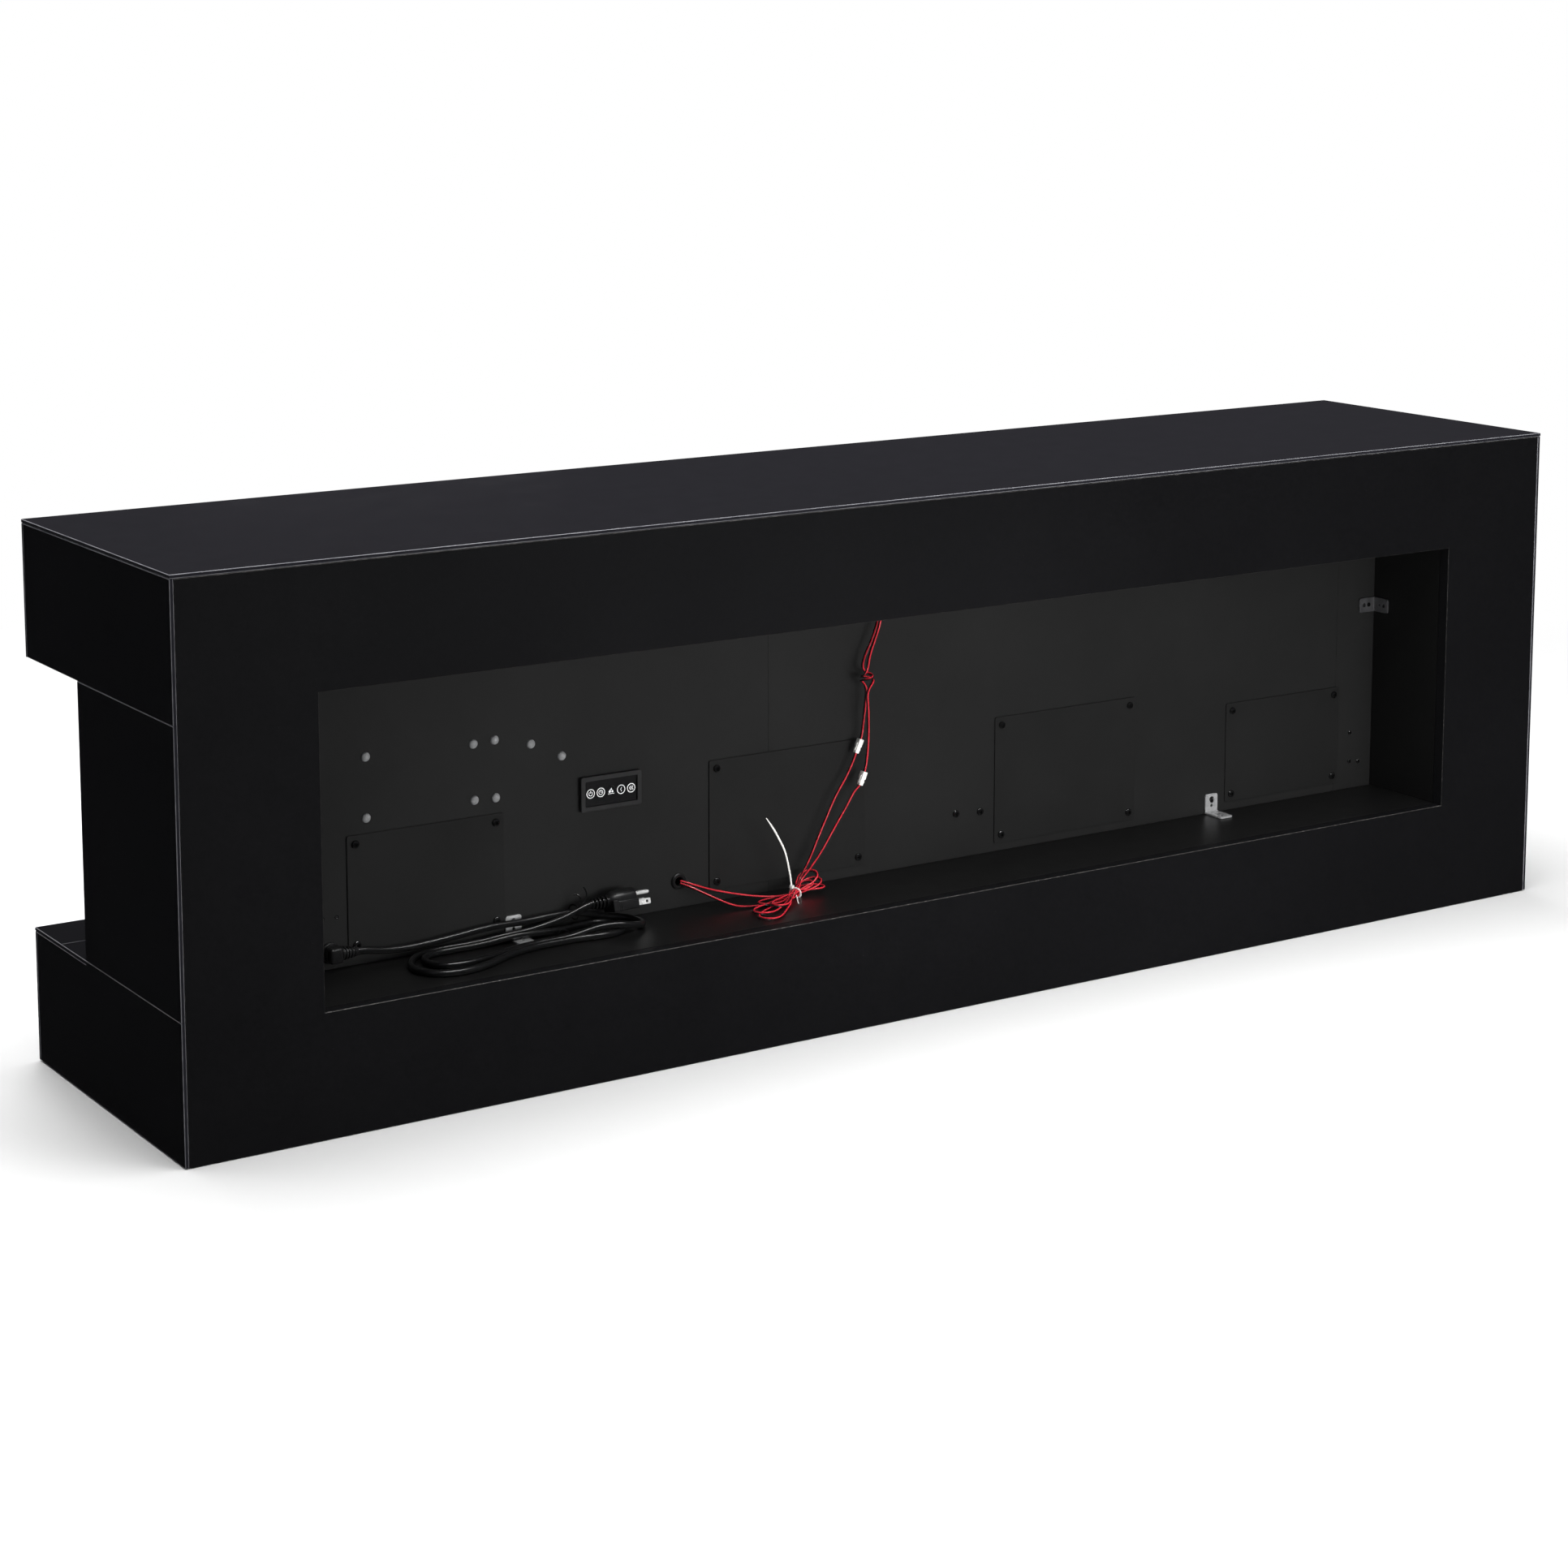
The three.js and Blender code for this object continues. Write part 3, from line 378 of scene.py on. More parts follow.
# label: name, colour, roughness, specular level, mottle (scale, spread), grain (scale, strength, depth in
# metres) and anything else that differs from the plain surface
FINISHES = {
    "lacquer": ("black_lacquer", (0.0035, 0.0035, 0.0039), 0.42, 0.15, (2.2, 0.1),
        (260, 0.1, 0.00005), dict(dust=0.22, extra=rim_chips, bump2=(38, 0.1, 0.0003))),
    "board_paint": ("recess_lacquer", (0.0038, 0.0038, 0.0038), 0.38, 0.46, (3, 0.06),
        (1400, 0.05, 0.00001), dict(rough_spread=0.015)),
    "raw_board": ("bare_fibreboard", (0.33, 0.24, 0.16), 0.85, 0.2, (40, 0.12), (700, 0.5, 0.0002), {}),
    "powder": ("powder_coat", (0.0102, 0.0102, 0.0101), 0.46, 0.28, (4, 0.09),
        (1500, 0.55, 0.00007), dict(dust=0.16, bump2=(520, 0.35, 0.00012))),
    "cover": ("cover_powder_coat", (0.0094, 0.0094, 0.0093), 0.45, 0.28, (5, 0.09),
        (1500, 0.55, 0.00007), dict(dust=0.1, bump2=(520, 0.35, 0.00012))),
    "zinc": ("bright_zinc", (0.372, 0.3751, 0.3782), 0.34, 0.5, (160, 0.12),
        (1200, 0.3, 0.00004), dict(metallic=0.45, rough_spread=0.1)),
    "rivet": ("zinc_rivet", (0.2232, 0.2263, 0.2294), 0.42, 0.5, (300, 0.16),
        (1600, 0.4, 0.00005), dict(metallic=0.35, rough_spread=0.12)),
    "dark_steel": ("blackened_steel", (0.042, 0.042, 0.044), 0.42, 0.5, (120, 0.2),
        (900, 0.3, 0.00005), dict(metallic=0.3)),
    "screw": ("black_screw", (0.0031, 0.0031, 0.0031), 0.2, 0.9, (400, 0.2),
        (1500, 0.2, 0.00003), dict(coat=0.5)),
    "plastic": ("moulded_black", (0.0054, 0.0054, 0.0056), 0.36, 0.45, (200, 0.12),
        (1400, 0.35, 0.00006), dict(dust=0.05)),
    "pvc": ("cord_jacket", (0.0033, 0.0033, 0.0034), 0.24, 0.6, (90, 0.15),
        (1500, 0.12, 0.00003), dict(rough_spread=0.03)),
    "keypad": ("keypad_frame", (0.015, 0.015, 0.0153), 0.42, 0.35, (60, 0.1), (1300, 0.3, 0.00005), {}),
    "overlay": ("keypad_overlay", (0.007, 0.007, 0.0073), 0.1, 0.4, (60, 0.08), (500, 0.08, 0.00002), {}),
    "print": ("white_print", (0.663, 0.6715, 0.68), 0.5, 0.3, (300, 0.06), (1500, 0.2, 0.00002), {}),
    "red": ("red_insulation", (0.44, 0.017, 0.029), 0.26, 0.6, (120, 0.14), (900, 0.2, 0.00004), {}),
    "black_wire": ("black_insulation", (0.0077, 0.0077, 0.0081), 0.28, 0.55, (120, 0.14),
        (900, 0.2, 0.00004), {}),
    "nylon": ("natural_nylon", (0.6, 0.595, 0.57), 0.38, 0.5, (150, 0.05), (1100, 0.2, 0.00004), {}),
    "nickel": ("nickel_blade", (0.5, 0.5, 0.495), 0.26, 0.5, (200, 0.08),
        (1600, 0.25, 0.00003), dict(metallic=0.35)),
    "screen": ("smoked_acrylic", (0.0023, 0.0023, 0.0025), 0.16, 0.5, (5, 0.1), (80, 0.05, 0.00004), {}),
    "crystal": ("crushed_glass", (0.8, 0.86, 0.88), 0.05, 0.5, (30, 0.1),
        (300, 0.2, 0.0001), dict(transmission=0.6)),
    "front_glass": ("front_glass_tint", (0.0046, 0.0046, 0.0054), 0.03, 0.5, (3, 0.05),
        (30, 0.03, 0.00002), dict(alpha=0.28, rough_spread=0.01)),
    "circuit": ("solder_resist", (0.02, 0.1, 0.04), 0.4, 0.5, (220, 0.25), (900, 0.2, 0.00005), {}),
    "aluminium": ("bright_aluminium", (0.62, 0.62, 0.63), 0.3, 0.5, (90, 0.1),
        (900, 0.3, 0.00005), dict(metallic=1)),
}


def make_materials():
    glass = dict(roughness=0.05, specular=0.30, mottle=(3.0, 0.05), grain=(40.0, 0.03, 0.00002),
                 rough_spread=0.015, dust=0.10)
    # top, end and deck tones of the one black glass; the darker deck tone is painted shade of the niche
    # under the upper tier
    top, end, deck = (0.0029, 0.0028, 0.0035), (0.0026, 0.0026, 0.0030), (0.0015, 0.0015, 0.0018)
    m = {}
    for label, axis, base in (("x", "X", end), ("y", "Y", end), ("z", "Z", top)):
        m["glass_" + label] = surface("black_glass_" + label, base, extra=pane_edges(axis), **glass)
    m["deck"] = surface("black_glass_deck", deck, extra=pane_edges("Z"), **dict(glass, specular=0.14))
    for label, (name, base, roughness, specular, mottle, grain, more) in FINISHES.items():
        m[label] = surface(name, base, roughness, specular, mottle, grain, **more)
    return m


def finish_nodes(m):
    """Gives every CAD node that stays in view its material."""
    looks = {
        "lacquer": ["back_panel"],
        "board_paint": ["recess_side_board_left", "recess_side_board_right", "upper_floor_board",
                        "base_deck_board", "end_board_left", "end_board_right"],
        "raw_board": ["top_board", "upper_front_board", "base_front_board", "base_bottom_board"],
        "glass_z": ["top_glass"],
        "deck": ["deck_front_glass", "deck_rear_glass"],
        "glass_y": ["upper_front_glass", "base_front_glass"],
        "glass_x": [f"{tier}_end_glass_{side}" for tier in ("upper", "middle", "base")
                    for side in ("left", "right")],
        "powder": ["firebox_wrap", "firebox_rear_sheet", "outlet_grille", "ember_tray"],
        "front_glass": ["front_glass"],
        "screen": ["flame_screen"],
        "aluminium": ["flicker_spindle", "heater_element"],
        "zinc": ["spindle_motor", "blower_casing"],
        "dark_steel": ["blower_motor"],
        "plastic": ["blower_wheel"],
        "overlay": ["key_power", "key_timer", "key_flame", "key_heat_low", "key_heat_high"],
        "circuit": ["control_board"],
    }
    for label, names in looks.items():
        for name in names:
            NODES[name].data.materials.clear()
            NODES[name].data.materials.append(m[label])


# ---------------------------------------------------------------- mesh helpers
def piece(name, bm, materials, body=BODY, replaces=(), smooth=True):
    """Turns a bmesh in metres into a piece that rides on a body, its broad faces shaded flat."""
    bmesh.ops.remove_doubles(bm, verts=bm.verts, dist=1e-7)
    bmesh.ops.recalc_face_normals(bm, faces=bm.faces)
    mesh = bpy.data.meshes.new(name)
    bm.to_mesh(mesh)
    bm.free()
    for material in materials if isinstance(materials, list) else [materials]:
        mesh.materials.append(material)
    obj = add_object(name, mesh)
    if smooth:
        mesh.shade_smooth()
        mesh.set_sharp_from_angle(angle=math.radians(38))
        for polygon in mesh.polygons:
            polygon.use_smooth = polygon.area < BROAD_FACE
    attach(obj, body)
    if replaces:
        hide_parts(*replaces)
    return obj


def put(target, source, matrix=None):
    """Adds a copy of one bmesh to another, moved by a matrix."""
    mesh = bpy.data.meshes.new("part")
    source.to_mesh(mesh)
    if matrix is not None:
        mesh.transform(matrix)
    target.from_mesh(mesh)
    bpy.data.meshes.remove(mesh)


def skin(bm, low, high):
    """Joins two rings of points with faces; a ring of one point closes an end."""
    count = max(len(low), len(high))
    made = []
    for k in range(count):
        k2 = (k + 1) % count
        if len(low) == 1:
            made.append(bm.faces.new((low[0], high[k2], high[k])))
        elif len(high) == 1:
            made.append(bm.faces.new((low[k], low[k2], high[0])))
        else:
            made.append(bm.faces.new((low[k], low[k2], high[k2], high[k])))
    return made


def lathe(profile, segments=32):
    """A closed turned solid about +Z from (radius, height) in mm, from one end of the axis to the other."""
    bm = bmesh.new()
    rings = []
    for radius, height in profile:
        if radius <= 0:
            rings.append([bm.verts.new((0, 0, height * MM))])
            continue
        ring = []
        for k in range(segments):
            a = 2 * math.pi * k / segments
            ring.append(bm.verts.new((radius * MM * math.cos(a), radius * MM * math.sin(a), height * MM)))
        rings.append(ring)
    for low, high in zip(rings, rings[1:]):
        skin(bm, low, high)
    return bm


def round_edges(bm, edges, bevel, segments):
    bmesh.ops.bevel(bm, geom=edges, offset=bevel * MM, segments=segments, profile=0.5, affect="EDGES")


def box(low, high, bevel=0.0, segments=2):
    """A block between two corners in mm, its edges rounded."""
    bm = bmesh.new()
    bmesh.ops.create_cube(bm, size=1.0)
    centre = (metres(low) + metres(high)) / 2
    size = metres(high) - metres(low)
    for v in bm.verts:
        v.co = Vector((v.co.x * size.x, v.co.y * size.y, v.co.z * size.z)) + centre
    if bevel:
        round_edges(bm, bm.edges[:], bevel, segments)
    return bm


def slab(points, thickness, bevel=0.0):
    """A plate in the XY plane from its outline in mm, rising from z 0."""
    bm = bmesh.new()
    face = bm.faces.new([bm.verts.new((x * MM, y * MM, 0)) for x, y in points])
    grown = bmesh.ops.extrude_face_region(bm, geom=[face])
    for v in grown["geom"]:
        if isinstance(v, bmesh.types.BMVert):
            v.co.z += thickness * MM
    bmesh.ops.recalc_face_normals(bm, faces=bm.faces)
    if bevel:
        edges = [e for e in bm.edges if len(e.link_faces) == 2 and e.calc_face_angle(0) > 1.2]
        round_edges(bm, edges, bevel, 2)
    return bm


def rounded(width, height, radius, steps=6):
    """The outline of a rectangle with round corners about the origin."""
    points = []
    for cx, cy, start in ((1, 1, 0), (-1, 1, 90), (-1, -1, 180), (1, -1, 270)):
        for k in range(steps + 1):
            a = math.radians(start + 90 * k / steps)
            points.append((cx * (width / 2 - radius) + radius * math.cos(a),
                           cy * (height / 2 - radius) + radius * math.sin(a)))
    return points


def on_sheet(x, z, y=SHEET_FACE, spin=0.0):
    """Lays local +Z along +Y, out of the rear sheet, at a point of it in mm."""
    turn = Matrix(((-1, 0, 0), (0, 0, 1), (0, 1, 0))).to_4x4()
    return shift(x, y, z) @ turn @ Matrix.Rotation(spin, 4, "Z")


def spline(points, step=2.0):
    """A smooth curve through points in mm, sampled every few millimetres."""
    p = np.array(points, float)
    chord = np.sqrt(np.linalg.norm(np.diff(p, axis=0), axis=1) * 1.0)
    t = np.concatenate([[0], np.cumsum(chord ** 2)])
    n = len(p)
    h = np.diff(t)
    a = np.zeros((n, n))
    b = np.zeros((n, 3))
    a[0, 0] = a[-1, -1] = 1
    for i in range(1, n - 1):
        a[i, i - 1], a[i, i], a[i, i + 1] = h[i - 1], 2 * (h[i - 1] + h[i]), h[i]
        b[i] = 6 * ((p[i + 1] - p[i]) / h[i] - (p[i] - p[i - 1]) / h[i - 1])
    m = np.linalg.solve(a, b)
    out = []
    for i in range(n - 1):
        count = max(1, int(round(h[i] / step)))
        for k in range(count):
            s = k * h[i] / count
            r = h[i] - s
            out.append(m[i] * r ** 3 / (6 * h[i]) + m[i + 1] * s ** 3 / (6 * h[i])
                       + (p[i] / h[i] - m[i] * h[i] / 6) * r + (p[i + 1] / h[i] - m[i + 1] * h[i] / 6) * s)
    out.append(p[-1])
    return [metres(tuple(q)) for q in out]


def frames(path, start):
    """Side and up along a path, carried along without twist."""
    found = []
    side = start.cross(path[1] - path[0]).normalized()
    for k in range(len(path)):
        tangent = (path[min(k + 1, len(path) - 1)] - path[max(k - 1, 0)]).normalized()
        side = (side - tangent * side.dot(tangent)).normalized()
        found.append((side, tangent.cross(side)))
    return found


def leaning_frames(path, lean):
    """Side and up along a path, its side always leaning one way, as a twin lead lies."""
    found = []
    side = lean.normalized()
    for k in range(len(path)):
        tangent = (path[min(k + 1, len(path) - 1)] - path[max(k - 1, 0)]).normalized()
        wanted = lean.normalized()
        wanted = wanted - tangent * wanted.dot(tangent)
        carried = (side - tangent * side.dot(tangent)).normalized()
        side = (carried * 4 + wanted).normalized()
        found.append((side, tangent.cross(side)))
    return found


def sweep(bm, path, radius, segments=8, offset=0.0, index=0, start=UP, flat=1.0, lean=None):
    """A closed tube along a path, moved sideways; its radius may be a function of the share along it."""
    rings = []
    sides = leaning_frames(path, lean) if lean is not None else frames(path, start)
    for k, (point, (side, up)) in enumerate(zip(path, sides)):
        r = radius(k / (len(path) - 1)) if callable(radius) else radius
        centre = point + side * offset * MM
        ring = []
        for s in range(segments):
            a = 2 * math.pi * s / segments
            ring.append(bm.verts.new(centre + (side * math.cos(a) + up * math.sin(a) * flat) * r * MM))
        rings.append(ring)
    faces = []
    for low, high in zip(rings, rings[1:]):
        faces += skin(bm, low, high)
    faces.append(bm.faces.new(rings[0][::-1]))
    faces.append(bm.faces.new(rings[-1]))
    for face in faces:
        face.material_index = index


def relax(path, passes):
    """Evens out the bends of a path, its ends kept."""
    for _ in range(passes):
        inner = [(a + 2 * b + c) / 4 for a, b, c in zip(path, path[1:], path[2:])]
        path = [path[0], *inner, path[-1]]
    return path


def subtract(bm, cutters):
    """Cuts closed meshes out of a mesh and returns the result as a bmesh."""
    def temporary(name, source):
        mesh = bpy.data.meshes.new(name)
        bmesh.ops.recalc_face_normals(source, faces=source.faces)
        source.to_mesh(mesh)
        source.free()
        return add_object(name, mesh)
    base = temporary("cut_base", bm)
    tools = [temporary("cut_tool", c) for c in cutters]
    for tool in tools:
        modifier = base.modifiers.new("cut", "BOOLEAN")
        modifier.operation = "DIFFERENCE"
        modifier.solver = "EXACT"
        modifier.object = tool
    result = bmesh.new()
    depsgraph = bpy.context.evaluated_depsgraph_get()
    result.from_mesh(base.evaluated_get(depsgraph).to_mesh())
    for obj in [base, *tools]:
        mesh = obj.data
        bpy.data.objects.remove(obj)
        bpy.data.meshes.remove(mesh)
    return result


# ---------------------------------------------------------------- cords
def bow_point(u, v, z):
    x, y, _ = NECK
    return (x + u * BOW_U[0] + v * BOW_V[0], y + u * BOW_U[1] + v * BOW_V[1], z)


def bow_loop(start, end, tip_u, tip_v, half, height, leans):
    """One loop of the bow, out from the tie and back, on the floor or leaning up towards the sheet."""
    (v0, z0), (v1, z1) = start, end
    points = []
    straight = abs(tip_u) - abs(half)
    shape = [(0.30 * straight, 0.36), (0.65 * straight, 0.80), (straight, 1.0),
             (straight + 0.707 * abs(half), 0.707), (abs(tip_u), 0.0)]
    shape = [(out / abs(tip_u), wide) for out, wide in shape]
    for out, wide in shape:
        points.append((out, wide, v0, z0))
    for out, wide in shape[-2::-1]:
        points.append((out, -wide, v1, z1))
    made = []
    for out, wide, v_tie, z_tie in points:
        near = max(0.0, 1 - out / 0.4)
        v = tip_v * out + half * wide + v_tie * near
        if leans:
            z = z_tie + (height - z_tie) * out
        else:
            z = height + (z_tie - height) * max(0.0, 1 - out / 0.5)
        made.append(bow_point(tip_u * out, v, max(z, RECESS_FLOOR + 1.8)))
    return made


def lead_route(facts):
    """A lead from the grommet through the tie, its loops, up its leg, through the knot to the ceiling."""
    passes = facts["passes"]
    route = list(facts["into"])
    for k, (tip_u, tip_v, half, height, leans) in enumerate(facts["loops"]):
        v, z = passes[k]
        route.append(bow_point(0, v, z))
        side = half if k % 2 == 0 else -half
        route += bow_loop(passes[k], passes[k + 1], tip_u, tip_v, side, height, leans)
    v, z = passes[-1]
    route.append(bow_point(1.5, v, z))
    route.append(bow_point(-4, v, z + 1.5))
    return route + facts["leg"] + facts["knot"] + facts["rise"]


def connector(name, foot, head, m):
    """A two-part in-line housing that a lead runs through: socket, plug tail, latch and ribs."""
    a, b = metres(foot), metres(head)
    length = (b - a).length / MM
    bm = bmesh.new()
    put(bm, box((-3.3, -2.9, -0.6), (3.3, 2.9, length * 0.50), 0.5))
    put(bm, box((-2.6, -2.4, -length * 0.50), (2.6, 2.4, -0.4), 0.4))
    put(bm, box((-3.0, -2.65, -length * 0.30), (3.0, 2.65, -length * 0.18), 0.3))
    put(bm, box((-1.3, 2.4, -length * 0.36), (1.3, 3.5, length * 0.16), 0.3))
    put(bm, box((-1.8, 2.8, length * 0.10), (1.8, 4.0, length * 0.20), 0.3))
    for side in (-1, 1):
        for k in range(3):
            z = length * (0.26 + 0.08 * k)
            put(bm, box((side * 3.2 - 0.25, -2.0, z), (side * 3.2 + 0.25, 2.0, z + 0.5), 0.1, 1))
    turn = (b - a).to_track_quat("Z", "Y").to_matrix().to_4x4()
    bm.transform(Matrix.Translation((a + b) / 2) @ turn)
    return piece(name + "_housing", bm, m["nylon"], replaces=[name])


def make_lead(name, facts, replaced, connector_node, m):
    path = relax(spline(lead_route(facts), LEAD_STEP), LEAD_RELAX)
    bm = bmesh.new()
    sweep(bm, path, WIRE_RADIUS, offset=WIRE_RADIUS, index=0, lean=RED_SIDE)
    sweep(bm, path, WIRE_RADIUS, offset=-WIRE_RADIUS, index=1, lean=RED_SIDE)
    obj = piece(name, bm, [m["red"], m["black_wire"]], replaces=replaced)
    low, high = CONNECTOR_STEPS
    housing = connector(connector_node, facts["leg"][low], facts["leg"][high], m)


def make_mains_cord(m):
    path = relax(spline([(*point, MAINS_LAY)[:3] for point in MAINS_ROUTE], MAINS_STEP), MAINS_RELAX)
    curve = bpy.data.curves.new("mains_lead", "CURVE")
    curve.dimensions = "3D"
    curve.bevel_depth = CORD_DIAMETER * MM / 2
    curve.bevel_resolution = 6
    curve.use_fill_caps = True
    line = curve.splines.new("POLY")
    line.points.add(len(path) - 1)
    for point, place in zip(line.points, path):
        point.co = (*place, 1)
    line.use_smooth = True
    curve.materials.append(m["pvc"])
    obj = add_object("mains_lead", curve)
    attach(obj, BODY)
    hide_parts("mains_cord", "mains_hank")


def make_plug(m):
    """The grounded plug: domed body on a gripped base, ribbed relief, two blades and the ground pin."""
    y, z = PLUG_Y, PLUG_CENTRE_Z
    x = PLUG_FACE
    axis = metres((0, y, z))
    roll = Matrix.Translation(axis) @ Matrix.Rotation(PLUG_ROLL, 4, "X") @ Matrix.Translation(-axis)
    along_x = Matrix.Rotation(math.pi / 2, 4, "Y")
    bm = bmesh.new()
    put(bm, box((x, y - 11.6, z - 11.4), (x + 26, y + 11.6, z - 0.6), 1.4, 4))
    dome = lathe([(0, 0), (9.6, 0), (10.6, 0.9), (10.9, 2.4), (11.1, 18), (10.6, 24), (9.0, 28.6), (6.2, 32),
                  (0, 33)], 40)
    put(bm, dome, shift(x + 1.2, y, z + 0.4) @ along_x)
    put(bm, box((x + 25, y - 12.0, z - 11.9), (x + 32, y + 12.0, z + 0.6), 1.2, 4))
    for side in (-1, 1):
        face = y + side * 11.4
        grip = [(0, -3.6), (20, -5.2), (20, 4.4), (0, 3.2)]
        part = slab(grip, 1.3, 0.4)
        turn = Matrix(((1, 0, 0), (0, 0, side), (0, 1, 0))).to_4x4()
        put(bm, part, shift(x + 2.4, face - side * 0.5, z - 6.2) @ turn)
        part.free()
    bm.transform(roll)
    body = piece("plug_body", bm, m["plastic"], replaces=["mains_plug"])

    rings = [(0, 0), (6.8, 0), (6.8, 3.0), (6.4, 3.4)]
    at = 3.6
    for k in range(4):
        r = 6.6 - 0.35 * k
        steps = ((2.2, 0.2), (2.2, 1.6), (0.4, 1.8), (0, 2.6), (0, 3.4), (0.4, 4.1))
        rings += [(r - inset, at + rise) for inset, rise in steps]
        at += 4.25
    rings += [(4.2, at + 0.2), (4.0, at + 1.2), (0, at + 1.2)]
    relief = lathe(rings, 28)
    relief.transform(shift(x + 32.6, y, z) @ along_x)
    relief_piece = piece("plug_relief", relief, m["pvc"])

    bm = bmesh.new()
    for offset in (-6.35, 6.35):
        outline = [(-16.2, -2.4), (-15.2, -3.17), (2, -3.17), (2, 3.17), (-15.2, 3.17), (-16.2, 2.4)]
        blade = slab(outline, 1.5, 0.25)
        hole = lathe([(0, -2), (1.6, -2), (1.6, 4), (0, 4)], 20)
        hole.transform(shift(-11.7, 0, 0))
        blade = subtract(blade, [hole])
        turn = Matrix(((1, 0, 0), (0, 0, -1), (0, 1, 0))).to_4x4()
        put(bm, blade, shift(x, y + offset + 0.75, PLUG_Z) @ turn)
        blade.free()
    pin = lathe([(0, 0), (0.9, 0.15), (1.6, 0.8), (2.0, 1.8), (2.15, 3.2), (2.15, 21), (0, 21)], 24)
    put(bm, pin, shift(x - 19, y, PLUG_Z + 11.9 - 2.2) @ along_x)
    bm.transform(roll)
    blades = piece("plug_blades", bm, m["nickel"])
    return [body, relief_piece, blades]


def make_gland(m):
    """The sheet-mounted cord outlet: a flange and nut on the sheet, an elbow and a tapered ribbed boot."""
    x, y, z = GLAND
    bm = bmesh.new()
    flange = lathe([(0, 0), (11, 0), (11, 2.4), (10.4, 3.1), (8.8, 3.4), (8.6, 9.5), (0, 9.5)], 36)
    put(bm, flange, on_sheet(x, z, SHEET_FACE + GAP))
    put(bm, box((x - 8.2, y - 7.8, z - 8.2), (x + 7, y + 8.0, z + 8.2), 3.4, 5))
    rings = [(0, 0), (8.0, 0), (8.0, 2.6)]
    at, r = 3.0, 7.4
    for _ in range(5):
        rings += [(r - 1.0, at + 0.3), (r - 1.0, at + 1.5), (r, at + 1.8), (r - 0.25, at + 3.2)]
        at += 3.6
        r -= 0.5
    rings += [(4.6, at + 0.4), (4.35, at + 2.6), (0, at + 2.6)]
    boot = lathe(rings, 32)
    put(bm, boot, shift(x - 3, y, z) @ Matrix.Rotation(-math.pi / 2, 4, "Y"))
    return piece("gland_boot", bm, m["plastic"], replaces=["mains_gland"])


def make_grommet(m):
    """A rubber ring in the sheet that the two leads leave through."""
    x, z = GROMMET
    profile = [
        (4.6, -2.5), (6.2, -2.5), (6.2, 0.0), (8.6, 0.2), (8.9, 1.2),
        (8.2, 2.2), (6.6, 2.7), (5.2, 2.2), (4.5, 1.0), (4.6, -2.5),
    ]
    bm = lathe(profile, 36)
    bm.transform(on_sheet(x, z, SHEET_FACE + GAP))
    piece("grommet_ring", bm, m["plastic"], replaces=["lead_grommet"])


def make_ties(m):
    """The white cable tie on the leads with its long tail, and the black twist tie on the mains lead."""
    x, y, z = NECK
    bm = bmesh.new()
    loop = []
    for k in range(33):
        a = 2 * math.pi * k / 32
        across, rise = 6.6 * math.cos(a), 5.6 * math.sin(a)
        loop.append(metres((x + BOW_V[0] * across, y + BOW_V[1] * across, z + rise - 0.2)))
    sweep(bm, loop, 1.25, start=Vector((*BOW_U, 0)), flat=0.5)
    head = box((-2.3, -2.0, -1.6), (2.3, 2.0, 2.0), 0.5)
    put(bm, head, shift(x + 2.6, y - 3.0, z + 6.3) @ Matrix.Rotation(0.5, 4, "Z"))
    tail = [(3, -3, 7), (3.5, -3, 14), (7.5, -2.0, 31), (13, 0, 48), (21, 0, 64), (30, 0, 79), (38, 0, 90)]
    tail = relax(spline([(x + out, y + aside, z + rise) for out, aside, rise in tail]), 12)
    sweep(bm, tail, lambda s: 1.05 - 0.6 * max(0.0, s - 0.85) / 0.15, start=ALONG_Y, flat=0.45)
    stub = [(x + 2, y + 5, z - 1), (x + 4, y + 10, z - 3), (x + 9, y + 19, z - 4), (x + 12, y + 25, z - 4)]
    sweep(bm, spline(stub), 0.7, flat=0.5)
    piece("lead_tie", bm, m["nylon"])

    bm = bmesh.new()
    wrap = []
    for k in range(29):
        a = 2 * math.pi * k / 28 * 1.08
        wrap.append(metres((404 + k * 0.08, 79.4 + 11.2 * math.cos(a), 149.4 + 7.6 * math.sin(a))))
    sweep(bm, wrap, 0.8, start=ALONG_X, flat=0.5)
    long_end = [
        (404, 87.5, 156), (400, 88, 160), (395.5, 86, 162), (392, 83, 165), (391, 81, 170), (393.5, 80, 175),
    ]
    short_end = [(404, 87.5, 156), (402, 86, 161), (398.5, 82, 164), (400, 78, 167), (404, 77, 167.5)]
    fallen = [
        (444, 98, 131.2), (438, 100, 134), (433, 101, 140),
        (428, 101, 139), (420, 100.5, 133.5), (414, 101, 131.2),
    ]
    for points, start in ((long_end, ALONG_X), (short_end, ALONG_X), (fallen, ALONG_Y)):
        sweep(bm, spline(points, 1.2), 0.8, start=start, flat=0.5)
    piece("mains_tie", bm, m["pvc"])


